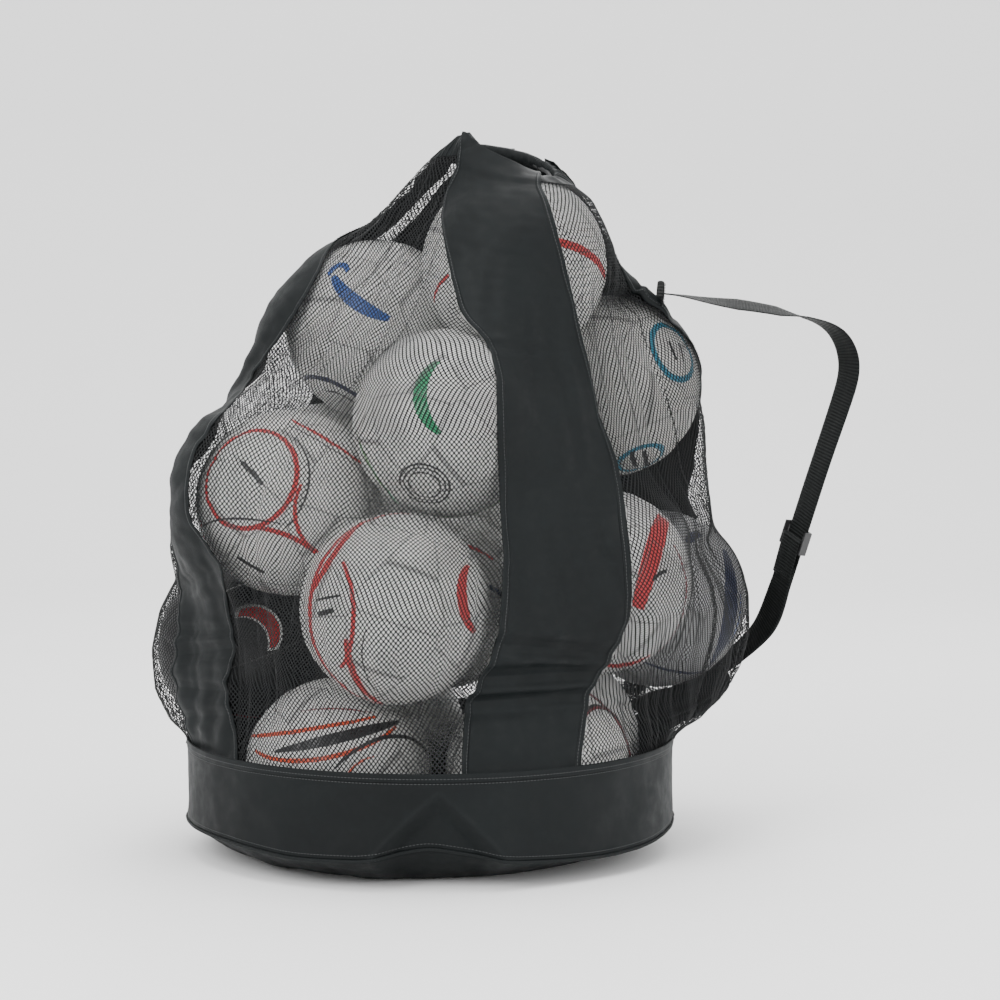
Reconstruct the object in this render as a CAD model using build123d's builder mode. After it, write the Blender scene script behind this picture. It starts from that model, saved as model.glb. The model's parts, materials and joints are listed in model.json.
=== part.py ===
from build123d import *
import math
import os

# Mesh ball bag, filled with footballs and standing on its base.
# Units are mm.  +Z is up, X runs across the front, -Y is the front.
# The origin is the centre of the flat face the bag stands on.

# ---- driving dimensions ----
BALL_R = 110.0          # size 5 football
COVER_T = 2.6           # panelled cover
BLADDER_T = 1.4         # rubber bladder bonded inside the cover
VALVE_R = 4.5

BASE_R = 292.0          # outside of the base band
BAND_T = 2.0            # two layers of coated fabric
BAND_BOTTOM = 41.2
BAND_TOP = 135.0
FLOOR_FLAT_R = 236.0    # flat face it stands on
FLOOR_TOP = 34.8
FLOOR_T = 2.4
PIPING_R = 3.0
TAPE_T = 1.2
TAPE_W = 12.0

WALL_T = 1.6            # fabric and net wall
SEAM_GAP = 0.4
WALL_EASE = 8.5         # wall stands off the balls by this much
WALL_TOP = 812.0
NECK_X = 93.0           # the mouth leans over to the right
NECK_Y = 2.0
NECK_R = 56.0

PANEL_HALF = 13.0       # half angle of a solid panel
PANEL_TURNS = {"front": -66.0, "left": -152.0, "back": 122.0, "right": 22.0}
BINDING_W = 9.0
BINDING_T = 1.0
LAYER_GAP = 0.15

HEM_TOP = 852.0
HEM_T = 1.2
CHANNEL_BOTTOM = 818.0
CHANNEL_DEPTH = 10.0
CORD_R = 2.5
CORD_Z = 828.0
TAIL_OFFSET = 7.0
TAIL_END = 98.0

LOCK_SIZE = (27.0, 12.0, 20.0)
LOCK_Y = 77.0
PLUNGER_R = 4.4
PRESS = 3.0

WEB_W = 38.0            # shoulder strap webbing
WEB_T = 1.6
RING_WIRE = 2.2
RING_ANGLE = 32.0       # lower anchor, on the base band
RING_REACH = 321.0
RING_Z = 135.0
RING_DEPTH = 15.0
TAB_W = 12.0
TAB_HOLE_R = 4.7        # room for the ring to turn as the strap swings
PATCH_ANGLE = 13.0      # upper anchor, on the wall
PATCH_Z = 665.0
PATCH_SIZE = 30.0
PATCH_STANDOFF = 3.4    # clear of the seam binding under it
PULL_REACH = 188.0      # the strap draws the wall out to a soft point here
PULL_R = 9.0
SLIDER_AT = (450, 113, 362)
RUN_DIR = (-0.27, 0.20, -0.94)
RUN_UP = 68.0           # straight webbing above and below the slider
RUN_DOWN = 60.0
SLIDER_LONG = 30.0
RAIL_W = 3.0
SLIDE_TRAVEL = 12.0

# Centres of the balls as they lie packed: four on the floor, then up.
BALLS = {
    "ball_01": (-105, -140, 113),
    "ball_02": (130, -122, 113),
    "ball_03": (-70, 145, 113),
    "ball_04": (146, 98, 113),
    "ball_05": (-35, -207, 312),
    "ball_06": (-222, 42, 236),
    "ball_07": (201, -60, 328),
    "ball_08": (280, 145, 283),
    "ball_09": (10, 47, 294),
    "ball_10": (-165, -65, 421),
    "ball_11": (-130, 175, 415),
    "ball_12": (88, 222, 426),
    "ball_13": (23, -130, 519),
    "ball_14": (219, 92, 551),
    "ball_15": (-68, 97, 620),
    "ball_16": (101, -19, 701),
}

os.makedirs("parts", exist_ok=True)


def save(builder, name):
    builder.part.label = name
    export_step(builder.part, f"parts/{name}.step")


def heading(angle):
    turn = math.radians(angle)
    return Vector(math.cos(turn), math.sin(turn), 0)


def centre_line(z):
    """Middle of the bag at height z; it leans towards the mouth."""
    rise = (z - BAND_TOP) / (WALL_TOP - BAND_TOP)
    return Vector(NECK_X * rise, NECK_Y * rise, 0)


def reach(ball, z):
    """Half width of the wall over one ball at height z, with its taut run-off."""
    off = abs(z - ball[2]) / BALL_R
    if off < 0.85:
        return BALL_R * math.sqrt(1 - off * off)
    return BALL_R * (0.527 - 1.61 * (off - 0.85))


def wall_radius(angle, z):
    """Distance from the centre line to the inside of the taut wall."""
    middle = centre_line(z)
    rounds = [(b[0], b[1], reach(b, z)) for b in BALLS.values() if reach(b, z) > 0]
    if z < BAND_TOP + 60:
        rounds.append((0, 0, BASE_R - BAND_T - WALL_EASE - 1.5 * (z - BAND_TOP)))
    if z > WALL_TOP - 60:
        rounds.append((NECK_X, NECK_Y, NECK_R - WALL_EASE))
    if abs(z - PATCH_Z) < 90:
        pull = middle + heading(PATCH_ANGLE) * (PULL_REACH - 1.2 * abs(z - PATCH_Z))
        rounds.append((pull.X, pull.Y, PULL_R))
    best = 1000.0
    for step in range(-14, 15):
        out = heading(angle + 5 * step)
        support = max((x - middle.X) * out.X + (y - middle.Y) * out.Y + r for x, y, r in rounds)
        best = min(best, support / math.cos(math.radians(5 * step)))
    return best + WALL_EASE


def wall_point(angle, z, offset=0.0):
    out = heading(angle)
    spot = centre_line(z) + out * (wall_radius(angle, z) + offset)
    return Vector(spot.X, spot.Y, z)


WALL_STEPS = 26
WALL_LEVELS = [
    BAND_TOP + 0.3 + (WALL_TOP - BAND_TOP - 0.3) * k / WALL_STEPS for k in range(WALL_STEPS + 1)
]


def wall_strip(edges, offset, thickness, count):
    """Lofted strip of the wall between two headings, from the band to the mouth."""
    with BuildPart() as strip:
        for z in WALL_LEVELS:
            first, last = edges(z)
            turns_here = [first + (last - first) * k / (count - 1) for k in range(count)]
            inner = [wall_point(turn, z, offset) for turn in turns_here]
            outer = [wall_point(turn, z, offset + thickness) for turn in turns_here]
            with BuildSketch(Plane.XY.offset(z)):
                with BuildLine():
                    Spline(*[(p.X, p.Y) for p in inner])
                    Line((inner[-1].X, inner[-1].Y), (outer[-1].X, outer[-1].Y))
                    Spline(*[(p.X, p.Y) for p in reversed(outer)])
                    Line((outer[0].X, outer[0].Y), (inner[0].X, inner[0].Y))
                make_face()
        loft(ruled=True)
    return strip.part


def seam_half(seam, z, extra=0.0):
    """Half of the angle that a seam's binding takes up on the wall."""
    return math.degrees((BINDING_W / 2 + extra) / wall_radius(seam, z))


# ---- balls ----
for name, centre in BALLS.items():
    with BuildPart() as cover:
        with Locations(centre):
            Sphere(BALL_R)
            Sphere(BALL_R - COVER_T, mode=Mode.SUBTRACT)
            with Locations((0, 0, BALL_R)):
                Cylinder(VALVE_R, 12, mode=Mode.SUBTRACT)
    save(cover, name)

with BuildPart() as bladders:
    for centre in BALLS.values():
        with Locations(centre):
            Sphere(BALL_R - COVER_T)
            Sphere(BALL_R - COVER_T - BLADDER_T, mode=Mode.SUBTRACT)
save(bladders, "ball_bladders")

with BuildPart() as valves:
    for centre in BALLS.values():
        with Locations((centre[0], centre[1], centre[2] + BALL_R - 1.4)):
            Cylinder(VALVE_R - 0.2, 1.8)
            Cylinder(0.8, 1.8, mode=Mode.SUBTRACT)
save(valves, "ball_valves")

# ---- base ----
with BuildPart() as floor:
    with BuildSketch(Plane.XZ):
        with BuildLine():
            Line((0, 0), (FLOOR_FLAT_R, 0))
            Spline(
                (FLOOR_FLAT_R, 0), (278, 13), (BASE_R, FLOOR_TOP),
                tangents=[(1, 0), (0, 1)],
            )
            Line((BASE_R, FLOOR_TOP), (BASE_R - FLOOR_T, FLOOR_TOP))
            Spline(
                (BASE_R - FLOOR_T, FLOOR_TOP), (276.2, 14.6), (FLOOR_FLAT_R, FLOOR_T),
                tangents=[(0, -1), (-1, 0)],
            )
            Line((FLOOR_FLAT_R, FLOOR_T), (0, FLOOR_T))
            Line((0, FLOOR_T), (0, 0))
        make_face()
    revolve(axis=Axis.Z)
save(floor, "base_floor")

with BuildPart() as band:
    with BuildSketch(Plane.XY.offset(BAND_BOTTOM)):
        Circle(BASE_R)
        Circle(BASE_R - BAND_T, mode=Mode.SUBTRACT)
    extrude(amount=BAND_TOP - BAND_BOTTOM)
save(band, "base_band")

with BuildPart() as piping:
    with Locations((0, 0, (BAND_BOTTOM + FLOOR_TOP) / 2)):
        Torus(BASE_R - 1, PIPING_R)
save(piping, "base_piping")

with BuildPart() as tape:
    with BuildSketch(Plane.XY.offset(BAND_TOP - TAPE_W)):
        Circle(BASE_R + LAYER_GAP + TAPE_T)
        Circle(BASE_R + LAYER_GAP, mode=Mode.SUBTRACT)
    extrude(amount=TAPE_W)
save(tape, "band_tape")

# ---- wall panels ----
turns = sorted(PANEL_TURNS.items(), key=lambda item: item[1])
for side, turn in turns:
    def panel_edges(z, low=turn - PANEL_HALF, high=turn + PANEL_HALF):
        return low + seam_half(low, z, SEAM_GAP), high - seam_half(high, z, SEAM_GAP)
    panel = wall_strip(panel_edges, 0, WALL_T, 5)
    with BuildPart() as solid_panel:
        add(panel)
    save(solid_panel, f"panel_{side}")

for number, (side, turn) in enumerate(turns):
    after, next_turn = turns[(number + 1) % len(turns)]
    if next_turn < turn:
        next_turn += 360

    def net_edges(z, low=turn + PANEL_HALF, high=next_turn - PANEL_HALF):
        return low + seam_half(low, z, SEAM_GAP), high - seam_half(high, z, SEAM_GAP)
    net = wall_strip(net_edges, 0, WALL_T, 11)
    with BuildPart() as net_panel:
        add(net)
    save(net_panel, f"net_{side}_{after}")

strips = []
for seam in [turn + half for side, turn in turns for half in (-PANEL_HALF, PANEL_HALF)]:
    def binding_edges(z, seam=seam):
        return seam - seam_half(seam, z), seam + seam_half(seam, z)
    strips.append(wall_strip(binding_edges, -0.3, WALL_T + BINDING_T, 3))
with BuildPart() as bindings:
    for strip in strips:
        add(strip)
save(bindings, "panel_bindings")

# ---- mouth: hem with its channel, eyelets, cord and cord lock ----
CHANNEL_IN = NECK_R - CHANNEL_DEPTH
RING_R = NECK_R - CHANNEL_DEPTH / 2
TAILS = (NECK_X - TAIL_OFFSET, NECK_X + TAIL_OFFSET)
BACKWARD = (-90, 0, 0)

RING_TURNS = [109, 127, 150, 180, 210, 240, 270, 300, 330, 360, 390, 413, 431]
TAIL_START = NECK_Y + NECK_R + 2
round_the_mouth = [
    (
        NECK_X + RING_R * math.cos(math.radians(turn)),
        NECK_Y + RING_R * math.sin(math.radians(turn)),
        CORD_Z,
    )
    for turn in RING_TURNS
]
with BuildLine():
    loop_line = Spline(
        (TAILS[0], TAIL_START, CORD_Z), *round_the_mouth, (TAILS[1], TAIL_START, CORD_Z),
        tangents=[(0, -1, 0), (0, 1, 0)],
    )

with BuildPart() as hem:
    with Locations((NECK_X, NECK_Y, (WALL_TOP + HEM_TOP) / 2)):
        Cylinder(NECK_R + HEM_T, HEM_TOP - WALL_TOP - 0.6)
        Cylinder(CHANNEL_IN, HEM_TOP - WALL_TOP, mode=Mode.SUBTRACT)
    chamfer(hem.edges().group_by(Axis.Z)[-1], 2.5)
    with Locations((NECK_X, NECK_Y, (WALL_TOP + CHANNEL_BOTTOM) / 2)):
        Cylinder(NECK_R, CHANNEL_BOTTOM - WALL_TOP, mode=Mode.SUBTRACT)
    with Locations((NECK_X, NECK_Y, CORD_Z)):
        Torus(RING_R, CHANNEL_DEPTH / 2 - HEM_T, mode=Mode.SUBTRACT)
    for x in TAILS:
        with Locations(Location((x, NECK_Y + NECK_R, CORD_Z), BACKWARD)):
            Cylinder(3.7, 12, mode=Mode.SUBTRACT)
save(hem, "mouth_hem")

with BuildPart() as eyelets:
    for x in TAILS:
        with Locations(Location((x, NECK_Y + NECK_R + 0.6, CORD_Z), BACKWARD)):
            Cylinder(3.6, 4)
            Cylinder(3.2, 4, mode=Mode.SUBTRACT)
        with Locations(Location((x, NECK_Y + NECK_R + 2.4, CORD_Z), BACKWARD)):
            Cylinder(5.4, 1)
            Cylinder(3.2, 1, mode=Mode.SUBTRACT)
save(eyelets, "eyelets")

with BuildPart() as cord:
    with BuildSketch(Plane(origin=loop_line @ 0, z_dir=loop_line % 0)):
        Circle(CORD_R)
    sweep(path=loop_line)
    with BuildSketch(Plane(origin=(0, TAIL_START, CORD_Z), x_dir=(1, 0, 0), z_dir=(0, 1, 0))):
        with Locations(*[(x, 0) for x in TAILS]):
            Circle(CORD_R)
    extrude(amount=TAIL_END - TAIL_START)
save(cord, "drawcord")

with BuildPart() as tips:
    for x in TAILS:
        with Locations(Location((x, TAIL_END + 2.2, CORD_Z), BACKWARD)):
            Cylinder(CORD_R + 1.2, 4)
    fillet(tips.edges(), 0.8)
save(tips, "cord_tips")

with BuildPart() as lock:
    with Locations((NECK_X, LOCK_Y, CORD_Z - 2)):
        Box(*LOCK_SIZE)
    fillet(lock.edges().filter_by(Axis.Z), 3)
    for x in TAILS:
        with Locations(Location((x, LOCK_Y, CORD_Z), BACKWARD)):
            Cylinder(2.9, 20, mode=Mode.SUBTRACT)
    with Locations((NECK_X, LOCK_Y, CORD_Z + 2)):
        Box(22.6, 8.6, 24, mode=Mode.SUBTRACT)
save(lock, "cord_lock_body")

with BuildPart() as plunger:
    with Locations((NECK_X, LOCK_Y, CORD_Z - 4.4)):
        Box(22.2, 8.2, 12.4, align=(Align.CENTER, Align.CENTER, Align.MIN))
    with Locations((NECK_X, LOCK_Y, CORD_Z + 8)):
        Box(18, 7, PRESS + 0.6, align=(Align.CENTER, Align.CENTER, Align.MIN))
    fillet(plunger.edges().group_by(Axis.Z)[-1], 1)
    for x in TAILS:
        with Locations(
            Location((x, LOCK_Y, CORD_Z), BACKWARD),
            Location((x, LOCK_Y, CORD_Z + PRESS), BACKWARD),
        ):
            Cylinder(2.9, 20, mode=Mode.SUBTRACT)
        with Locations((x, LOCK_Y, CORD_Z + PRESS / 2)):
            Box(5.8, 20, PRESS, mode=Mode.SUBTRACT)
save(plunger, "cord_lock_button")

with BuildPart() as spring:
    with BuildLine():
        coil = Helix(pitch=1.5, height=4.5, radius=2.9, center=(NECK_X, LOCK_Y, CORD_Z - 9.4))
    with BuildSketch(Plane(origin=coil @ 0, z_dir=coil % 0)):
        Circle(0.35)
    sweep(path=coil)
save(spring, "cord_lock_spring")

# ---- shoulder strap ----
RADIAL = heading(RING_ANGLE)
ROUND = Vector(-RADIAL.Y, RADIAL.X, 0)
UP = Vector(0, 0, 1)
RING_SLOPE = (RADIAL * 0.913 + UP * 0.408).normalized()
RING_AT = RADIAL * RING_REACH + UP * RING_Z

patch_out = wall_point(PATCH_ANGLE, PATCH_Z, WALL_T)
patch_round = Vector(-heading(PATCH_ANGLE).Y, heading(PATCH_ANGLE).X, 0)
patch_rise = (wall_point(PATCH_ANGLE, PATCH_Z + 12) - wall_point(PATCH_ANGLE, PATCH_Z - 12)).normalized()
patch_normal = patch_round.cross(patch_rise).normalized()
patch_plane = Plane(origin=patch_out + patch_normal * PATCH_STANDOFF, x_dir=patch_round, z_dir=patch_normal)
STRAP_TOP = patch_out + patch_normal * (PATCH_STANDOFF + 5.5)

with BuildPart() as patch:
    with BuildSketch(patch_plane):
        RectangleRounded(PATCH_SIZE, PATCH_SIZE, 5)
    extrude(amount=WEB_T)
save(patch, "strap_patch")

run = Vector(*RUN_DIR).normalized()
slider_at = Vector(*SLIDER_AT)
run_top = slider_at - run * RUN_UP
run_low = slider_at + run * RUN_DOWN
ACROSS_RUN = Vector(-0.52, 0.854, 0)
UPPER_WAY = [
    STRAP_TOP,
    (329, 65, 657),
    (380, 69, 650),
    (448, 75, 637),
    (494, 79, 616),
    (510, 84, 578),
    (504, 89, 540),
    (490, 93, 495),
    run_top,
]
LOWER_WAY = [run_low, (414, 158, 245), (366, 180, 195), RING_AT + RING_SLOPE * 42, RING_AT]
ACROSS_KEYS = [
    (0.0, patch_round, 0.35),
    (0.08, Vector(-0.20, 0.97, 0.12), 1.0),
    (0.22, Vector(-0.15, 0.93, 0.34), 1.0),
    (0.34, Vector(-0.20, 0.92, 0.30), 1.0),
    (0.42, Vector(-0.50, 0.86, 0.05), 1.0),
    (0.60, Vector(-0.60, 0.80, 0.0), 1.0),
    (1.0, ACROSS_RUN, 1.0),
]


def across_at(share):
    """Direction across the webbing, and its share of the full width."""
    for low, high in zip(ACROSS_KEYS, ACROSS_KEYS[1:]):
        if share <= high[0]:
            part_way = (share - low[0]) / (high[0] - low[0])
            way = low[1] * (1 - part_way) + high[1] * part_way
            return way.normalized(), low[2] * (1 - part_way) + high[2] * part_way
    return ACROSS_RUN, 1.0


def square_up(across, along):
    return (across - along * across.dot(along)).normalized()


def webbing(stations):
    """Flat webbing lofted through (centre, along, across, width) stations."""
    with BuildPart() as strip:
        for centre, along, across, width in stations:
            with BuildSketch(Plane(origin=centre, x_dir=across, z_dir=along)):
                Rectangle(width, WEB_T)
        loft(ruled=True)
    return strip.part


with BuildLine() as upper_path:
    Spline(*UPPER_WAY, tangents=[patch_normal, run])
with BuildLine() as lower_path:
    Spline(*LOWER_WAY, tangents=[run, RING_SLOPE * -1])
upper_line = upper_path.edges()[0]
lower_line = lower_path.edges()[0]
TURN_R = RING_WIRE + 0.4 + WEB_T / 2
LAYER_STEP = WEB_T + 0.6


def outward(along, across):
    """Face of the webbing that looks away from the bag."""
    side = across.cross(along).normalized()
    return side * -1 if side.dot(RADIAL) < 0 else side


def lower_station(share, layer):
    """One of the two layers below the slider; they part to go round the ring."""
    along = lower_line % share
    across = square_up(ACROSS_RUN * (1 - share) + ROUND * share, along)
    parting = max(0.0, share - 0.8) / 0.2
    parting = parting * parting * (3 - 2 * parting)
    if layer == "main":
        lift = TURN_R * parting
    else:
        lift = -LAYER_STEP * (1 - parting) - TURN_R * parting
    return lower_line @ share + outward(along, across) * lift, along, across, WEB_W


stations = []
for k in range(37):
    along = upper_line % (k / 36)
    across, width_share = across_at(k / 36)
    stations.append((upper_line @ (k / 36), along, square_up(across, along), WEB_W * width_share))
stations += [lower_station(k / 24, "main") for k in range(25)]
ring_along = lower_line % 1
ring_across = square_up(ROUND, ring_along)
ring_out = outward(ring_along, ring_across)
for k in range(1, 8):
    turn = math.pi * k / 8
    spot = RING_AT + ring_out * (TURN_R * math.cos(turn)) + ring_along * (TURN_R * math.sin(turn))
    onward = ring_along * math.cos(turn) - ring_out * math.sin(turn)
    stations.append((spot, onward, ring_across, WEB_W))
for k in range(24, -1, -1):
    spot, along, across, wide = lower_station(k / 24, "return")
    stations.append((spot, along * -1, across, wide))
run_across = square_up(ACROSS_RUN, run)
run_out = outward(run, run_across)
return_end = slider_at + run * (SLIDER_LONG / 2 + SLIDE_TRAVEL + 6) - run_out * LAYER_STEP
stations.append((return_end, run * -1, run_across, WEB_W))
strap = webbing(stations)
with BuildPart() as strap_webbing:
    add(strap)
save(strap_webbing, "strap_webbing")

# the slider: two side rails, two end bars over the webbing, a middle bar under it
slider_plane = Plane(origin=slider_at, x_dir=run_across, z_dir=run_out)
BAR_DROP = WEB_T / 2 + 0.5 + WEB_T + 0.15 + 1.5
bar_at = slider_at - run_out * BAR_DROP
with BuildPart() as slider:
    with BuildSketch(slider_plane.offset(-BAR_DROP - 1.6)):
        for side in (-1, 1):
            with Locations(((WEB_W / 2 + 1 + RAIL_W / 2) * side, 0)):
                RectangleRounded(RAIL_W, SLIDER_LONG, 1.2)
    extrude(amount=BAR_DROP + 1.6 + WEB_T / 2 + 0.5 + 2.4)
    with BuildSketch(slider_plane.offset(WEB_T / 2 + 0.5)):
        with Locations((0, SLIDER_LONG / 2 - 3), (0, 3 - SLIDER_LONG / 2)):
            Rectangle(WEB_W + 4, 6)
    extrude(amount=2.4)
    with BuildSketch(Plane(origin=bar_at - run_across * (WEB_W / 2 + 2), z_dir=run_across)):
        Circle(1.5)
    extrude(amount=WEB_W + 4)
save(slider, "strap_slider")

# the end of the webbing, turned round the slider's middle bar and sewn down
LOOP_R = 1.5 + 0.15 + WEB_T / 2
up_run = run * -1
loop_stations = [(bar_at + run_out * LOOP_R + run * 15, up_run, run_across, WEB_W)]
for k in range(9):
    turn = math.pi * k / 8
    spot = bar_at + run_out * (LOOP_R * math.cos(turn)) + up_run * (LOOP_R * math.sin(turn))
    onward = up_run * math.cos(turn) - run_out * math.sin(turn)
    loop_stations.append((spot, onward, run_across, WEB_W))
loop_stations.append((slider_at - run_out * (2 * LAYER_STEP) + run * 26, run, run_across, WEB_W))
loop_stations.append((slider_at - run_out * (2 * LAYER_STEP) + run * 52, run, run_across, WEB_W))
loop = webbing(loop_stations)
with BuildPart() as end_loop:
    add(loop)
save(end_loop, "strap_end_loop")

# the ring at the strap's foot, held by a narrow loop sewn to the band
near_bar = RING_AT - RING_SLOPE * RING_DEPTH
ring_plane = Plane(origin=near_bar, x_dir=ROUND, z_dir=ROUND.cross(RING_SLOPE))
RING_HALF = WEB_W / 2 + RING_WIRE + 1.2
with BuildSketch(ring_plane) as ring_shape:
    with Locations((0, RING_DEPTH / 2)):
        RectangleRounded(2 * RING_HALF, RING_DEPTH, 4)
ring_wire = ring_shape.sketch.faces()[0].outer_wire()
with BuildPart() as ring:
    with BuildSketch(Plane(origin=ring_wire @ 0, z_dir=ring_wire % 0)):
        Circle(RING_WIRE)
    sweep(path=ring_wire)
save(ring, "strap_ring")

tab_plane = Plane(origin=(0, 0, 0), x_dir=RADIAL, z_dir=ROUND * -1)
tab_face = BASE_R + LAYER_GAP + TAPE_T + 0.25
bar_out = near_bar.dot(RADIAL)
with BuildPart() as tab:
    with BuildSketch(tab_plane):
        with Locations((tab_face + WEB_T / 2, near_bar.Z - 32)):
            Rectangle(WEB_T, 64)
        with Locations(((tab_face + bar_out) / 2, near_bar.Z - 2)):
            Rectangle(bar_out - tab_face, 4)
        with Locations((bar_out, near_bar.Z)):
            Circle(TAB_HOLE_R + WEB_T)
            Circle(TAB_HOLE_R, mode=Mode.SUBTRACT)
    extrude(amount=TAB_W / 2, both=True)
save(tab, "strap_tab")
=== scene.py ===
import json
import math

import bmesh
import bpy
import numpy as np
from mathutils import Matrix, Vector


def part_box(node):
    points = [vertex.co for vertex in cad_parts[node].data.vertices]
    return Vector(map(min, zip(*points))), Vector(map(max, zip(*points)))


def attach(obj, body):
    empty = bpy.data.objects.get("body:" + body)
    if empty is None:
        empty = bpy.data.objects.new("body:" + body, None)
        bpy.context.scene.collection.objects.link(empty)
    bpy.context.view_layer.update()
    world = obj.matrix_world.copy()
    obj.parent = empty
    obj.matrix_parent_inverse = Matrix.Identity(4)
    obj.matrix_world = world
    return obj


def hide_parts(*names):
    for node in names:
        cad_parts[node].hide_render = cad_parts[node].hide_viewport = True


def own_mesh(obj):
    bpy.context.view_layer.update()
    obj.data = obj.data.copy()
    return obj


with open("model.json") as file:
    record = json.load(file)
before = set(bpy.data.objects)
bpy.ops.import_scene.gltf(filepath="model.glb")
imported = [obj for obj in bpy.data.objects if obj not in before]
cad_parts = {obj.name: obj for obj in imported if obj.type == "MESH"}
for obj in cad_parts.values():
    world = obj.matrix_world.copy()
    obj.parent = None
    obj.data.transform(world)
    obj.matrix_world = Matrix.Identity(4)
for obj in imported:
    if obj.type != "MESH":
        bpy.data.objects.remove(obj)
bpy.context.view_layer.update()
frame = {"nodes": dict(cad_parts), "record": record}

# Mesh ball bag, packed with footballs.  Metres, +Z up, the front faces -Y.


def node_box(name):
    low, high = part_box(name)
    return np.array(low, float), np.array(high, float)


BALL_NAMES = [f"ball_{k:02d}" for k in range(1, 17)]
BALL_AT = {name: sum(node_box(name)) / 2 for name in BALL_NAMES}
CENTRES = np.array([BALL_AT[name] for name in BALL_NAMES])
BALL_R = 0.110
BAND_HIGH = node_box("base_band")[1]
BAND_R = BAND_HIGH[0]
BAND_TOP = BAND_HIGH[2]
HEM_LOW, HEM_HIGH = node_box("mouth_hem")
NECK = np.array([(HEM_LOW[0] + HEM_HIGH[0]) / 2, (HEM_LOW[1] + HEM_HIGH[1]) / 2])
NECK_R = 0.056
WALL_TOP = 0.812
ANCHOR = sum(node_box("strap_patch")) / 2
CORD_Z = sum(node_box("eyelets"))[2] / 2
JOINTS = {joint["name"]: joint for joint in frame["record"]["behaviour"]["joints"]}


def placed(name, data):
    """A new object in the scene."""
    made = bpy.data.objects.new(name, data)
    bpy.context.scene.collection.objects.link(made)
    return made


# ---------------------------------------------------------------- camera and light

AIM = np.array([0.084, 0.0, 0.4186])
RISE = math.radians(5.0)
FAR = 4.0
EYE = AIM + FAR * np.array([0, -math.cos(RISE), math.sin(RISE)])
LOOK = np.array([0, math.cos(RISE), -math.sin(RISE)])
UPWARD = np.array([0, math.sin(RISE), math.cos(RISE)])
camera_data = bpy.data.cameras.new("camera")
camera_data.lens = 120
camera = placed("camera", camera_data)
camera.location = EYE
camera.rotation_euler = (math.pi / 2 - RISE, 0, 0)
bpy.context.scene.camera = camera


def seen(points):
    """Where points appear from the front, as x and z in the plane through the bag's middle."""
    away = points - EYE
    depth = away @ LOOK
    return AIM[0] + away[..., 0] / depth * FAR, AIM[2] + (away @ UPWARD) / depth * FAR


def soft_light(name, spot, size, power):
    data = bpy.data.lights.new(name, "AREA")
    data.shape = "RECTANGLE"
    data.size = size
    data.size_y = size
    data.energy = power
    lamp = placed(name, data)
    lamp.location = spot
    way = np.array([0.05, 0, 0.42]) - np.array(spot)
    lamp.rotation_euler = (
        math.atan2(math.hypot(way[0], way[1]), -way[2]),
        0,
        math.atan2(way[1], way[0]) - math.pi / 2,
    )


soft_light("key", (-1.7, -2.4, 2.2), 1.6, 84)
soft_light("fill", (2.3, -2.4, 1.3), 1.8, 44)
soft_light("top", (0.1, -0.2, 3.0), 2.2, 56)
soft_light("rear", (0.5, 2.2, 2.6), 2.0, 50)
world = bpy.data.worlds.new("studio")
world.use_nodes = True
world.node_tree.nodes["Background"].inputs[0].default_value = (1, 1, 1, 1)
world.node_tree.nodes["Background"].inputs[1].default_value = 1.6
bpy.context.scene.world = world

# ---------------------------------------------------------------- mesh helpers


def fast_mesh(name, points, quads, coords=None):
    """Smooth mesh of quads from arrays; coords is a cloth position for each point."""
    points = np.asarray(points, np.float32).reshape(-1, 3)
    quads = np.asarray(quads, np.int32).reshape(-1, 4)
    mesh = bpy.data.meshes.new(name)
    mesh.vertices.add(len(points))
    mesh.vertices.foreach_set("co", points.ravel())
    mesh.loops.add(quads.size)
    mesh.loops.foreach_set("vertex_index", quads.ravel())
    mesh.polygons.add(len(quads))
    mesh.polygons.foreach_set("loop_start", np.arange(0, quads.size, 4, dtype=np.int32))
    mesh.polygons.foreach_set("loop_total", np.full(len(quads), 4, np.int32))
    mesh.update(calc_edges=True)
    mesh.polygons.foreach_set("use_smooth", np.ones(len(quads), bool))
    if coords is not None:
        layer = mesh.uv_layers.new(name="cloth")
        layer.data.foreach_set("uv", np.asarray(coords, np.float32).reshape(-1, 2)[quads.ravel()].ravel())
    return placed(name, mesh)


def grid_quads(rows, columns, closed=False):
    span = columns if closed else columns - 1
    v, u = np.meshgrid(np.arange(rows - 1), np.arange(span), indexing="ij")
    after = (u + 1) % columns
    return np.stack(
        [v * columns + u, v * columns + after, (v + 1) * columns + after, (v + 1) * columns + u], -1
    ).reshape(-1, 4)


def smooth_step(low, high, value):
    t = np.clip((value - low) / (high - low), 0, 1)
    return t * t * (3 - 2 * t)


def row_normals(grid, closed=False):
    """Outward normals of points laid out (up, round)."""
    du = np.roll(grid, -1, 1) - np.roll(grid, 1, 1) if closed else np.gradient(grid, axis=1)
    out = np.cross(du, np.gradient(grid, axis=0))
    return out / np.maximum(np.linalg.norm(out, axis=-1, keepdims=True), 1e-9)


def waves(a, b, seed, count, low, high):
    """Smooth repeatable unevenness over two coordinates in metres, about -1 to 1."""
    rng = np.random.default_rng(seed)
    total = np.zeros(np.broadcast(a, b).shape)
    weight = 0
    for _ in range(count):
        pitch = math.exp(rng.uniform(math.log(low), math.log(high)))
        turn = rng.uniform(0, 2 * math.pi)
        share = pitch / high
        way = (a * math.cos(turn) + b * math.sin(turn)) * 2 * math.pi / pitch
        total += share * np.sin(way + rng.uniform(0, 2 * math.pi))
        weight += share * share
    return total / math.sqrt(2 * weight)


def along(points):
    """Distance along a line of points."""
    return np.concatenate([[0], np.cumsum(np.linalg.norm(np.diff(points, axis=0), axis=1))])


def at_distance(where, far, values):
    """Places or ways along a line at some distances."""
    return np.stack([np.interp(where, far, values[:, k]) for k in range(3)], -1)


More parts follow.
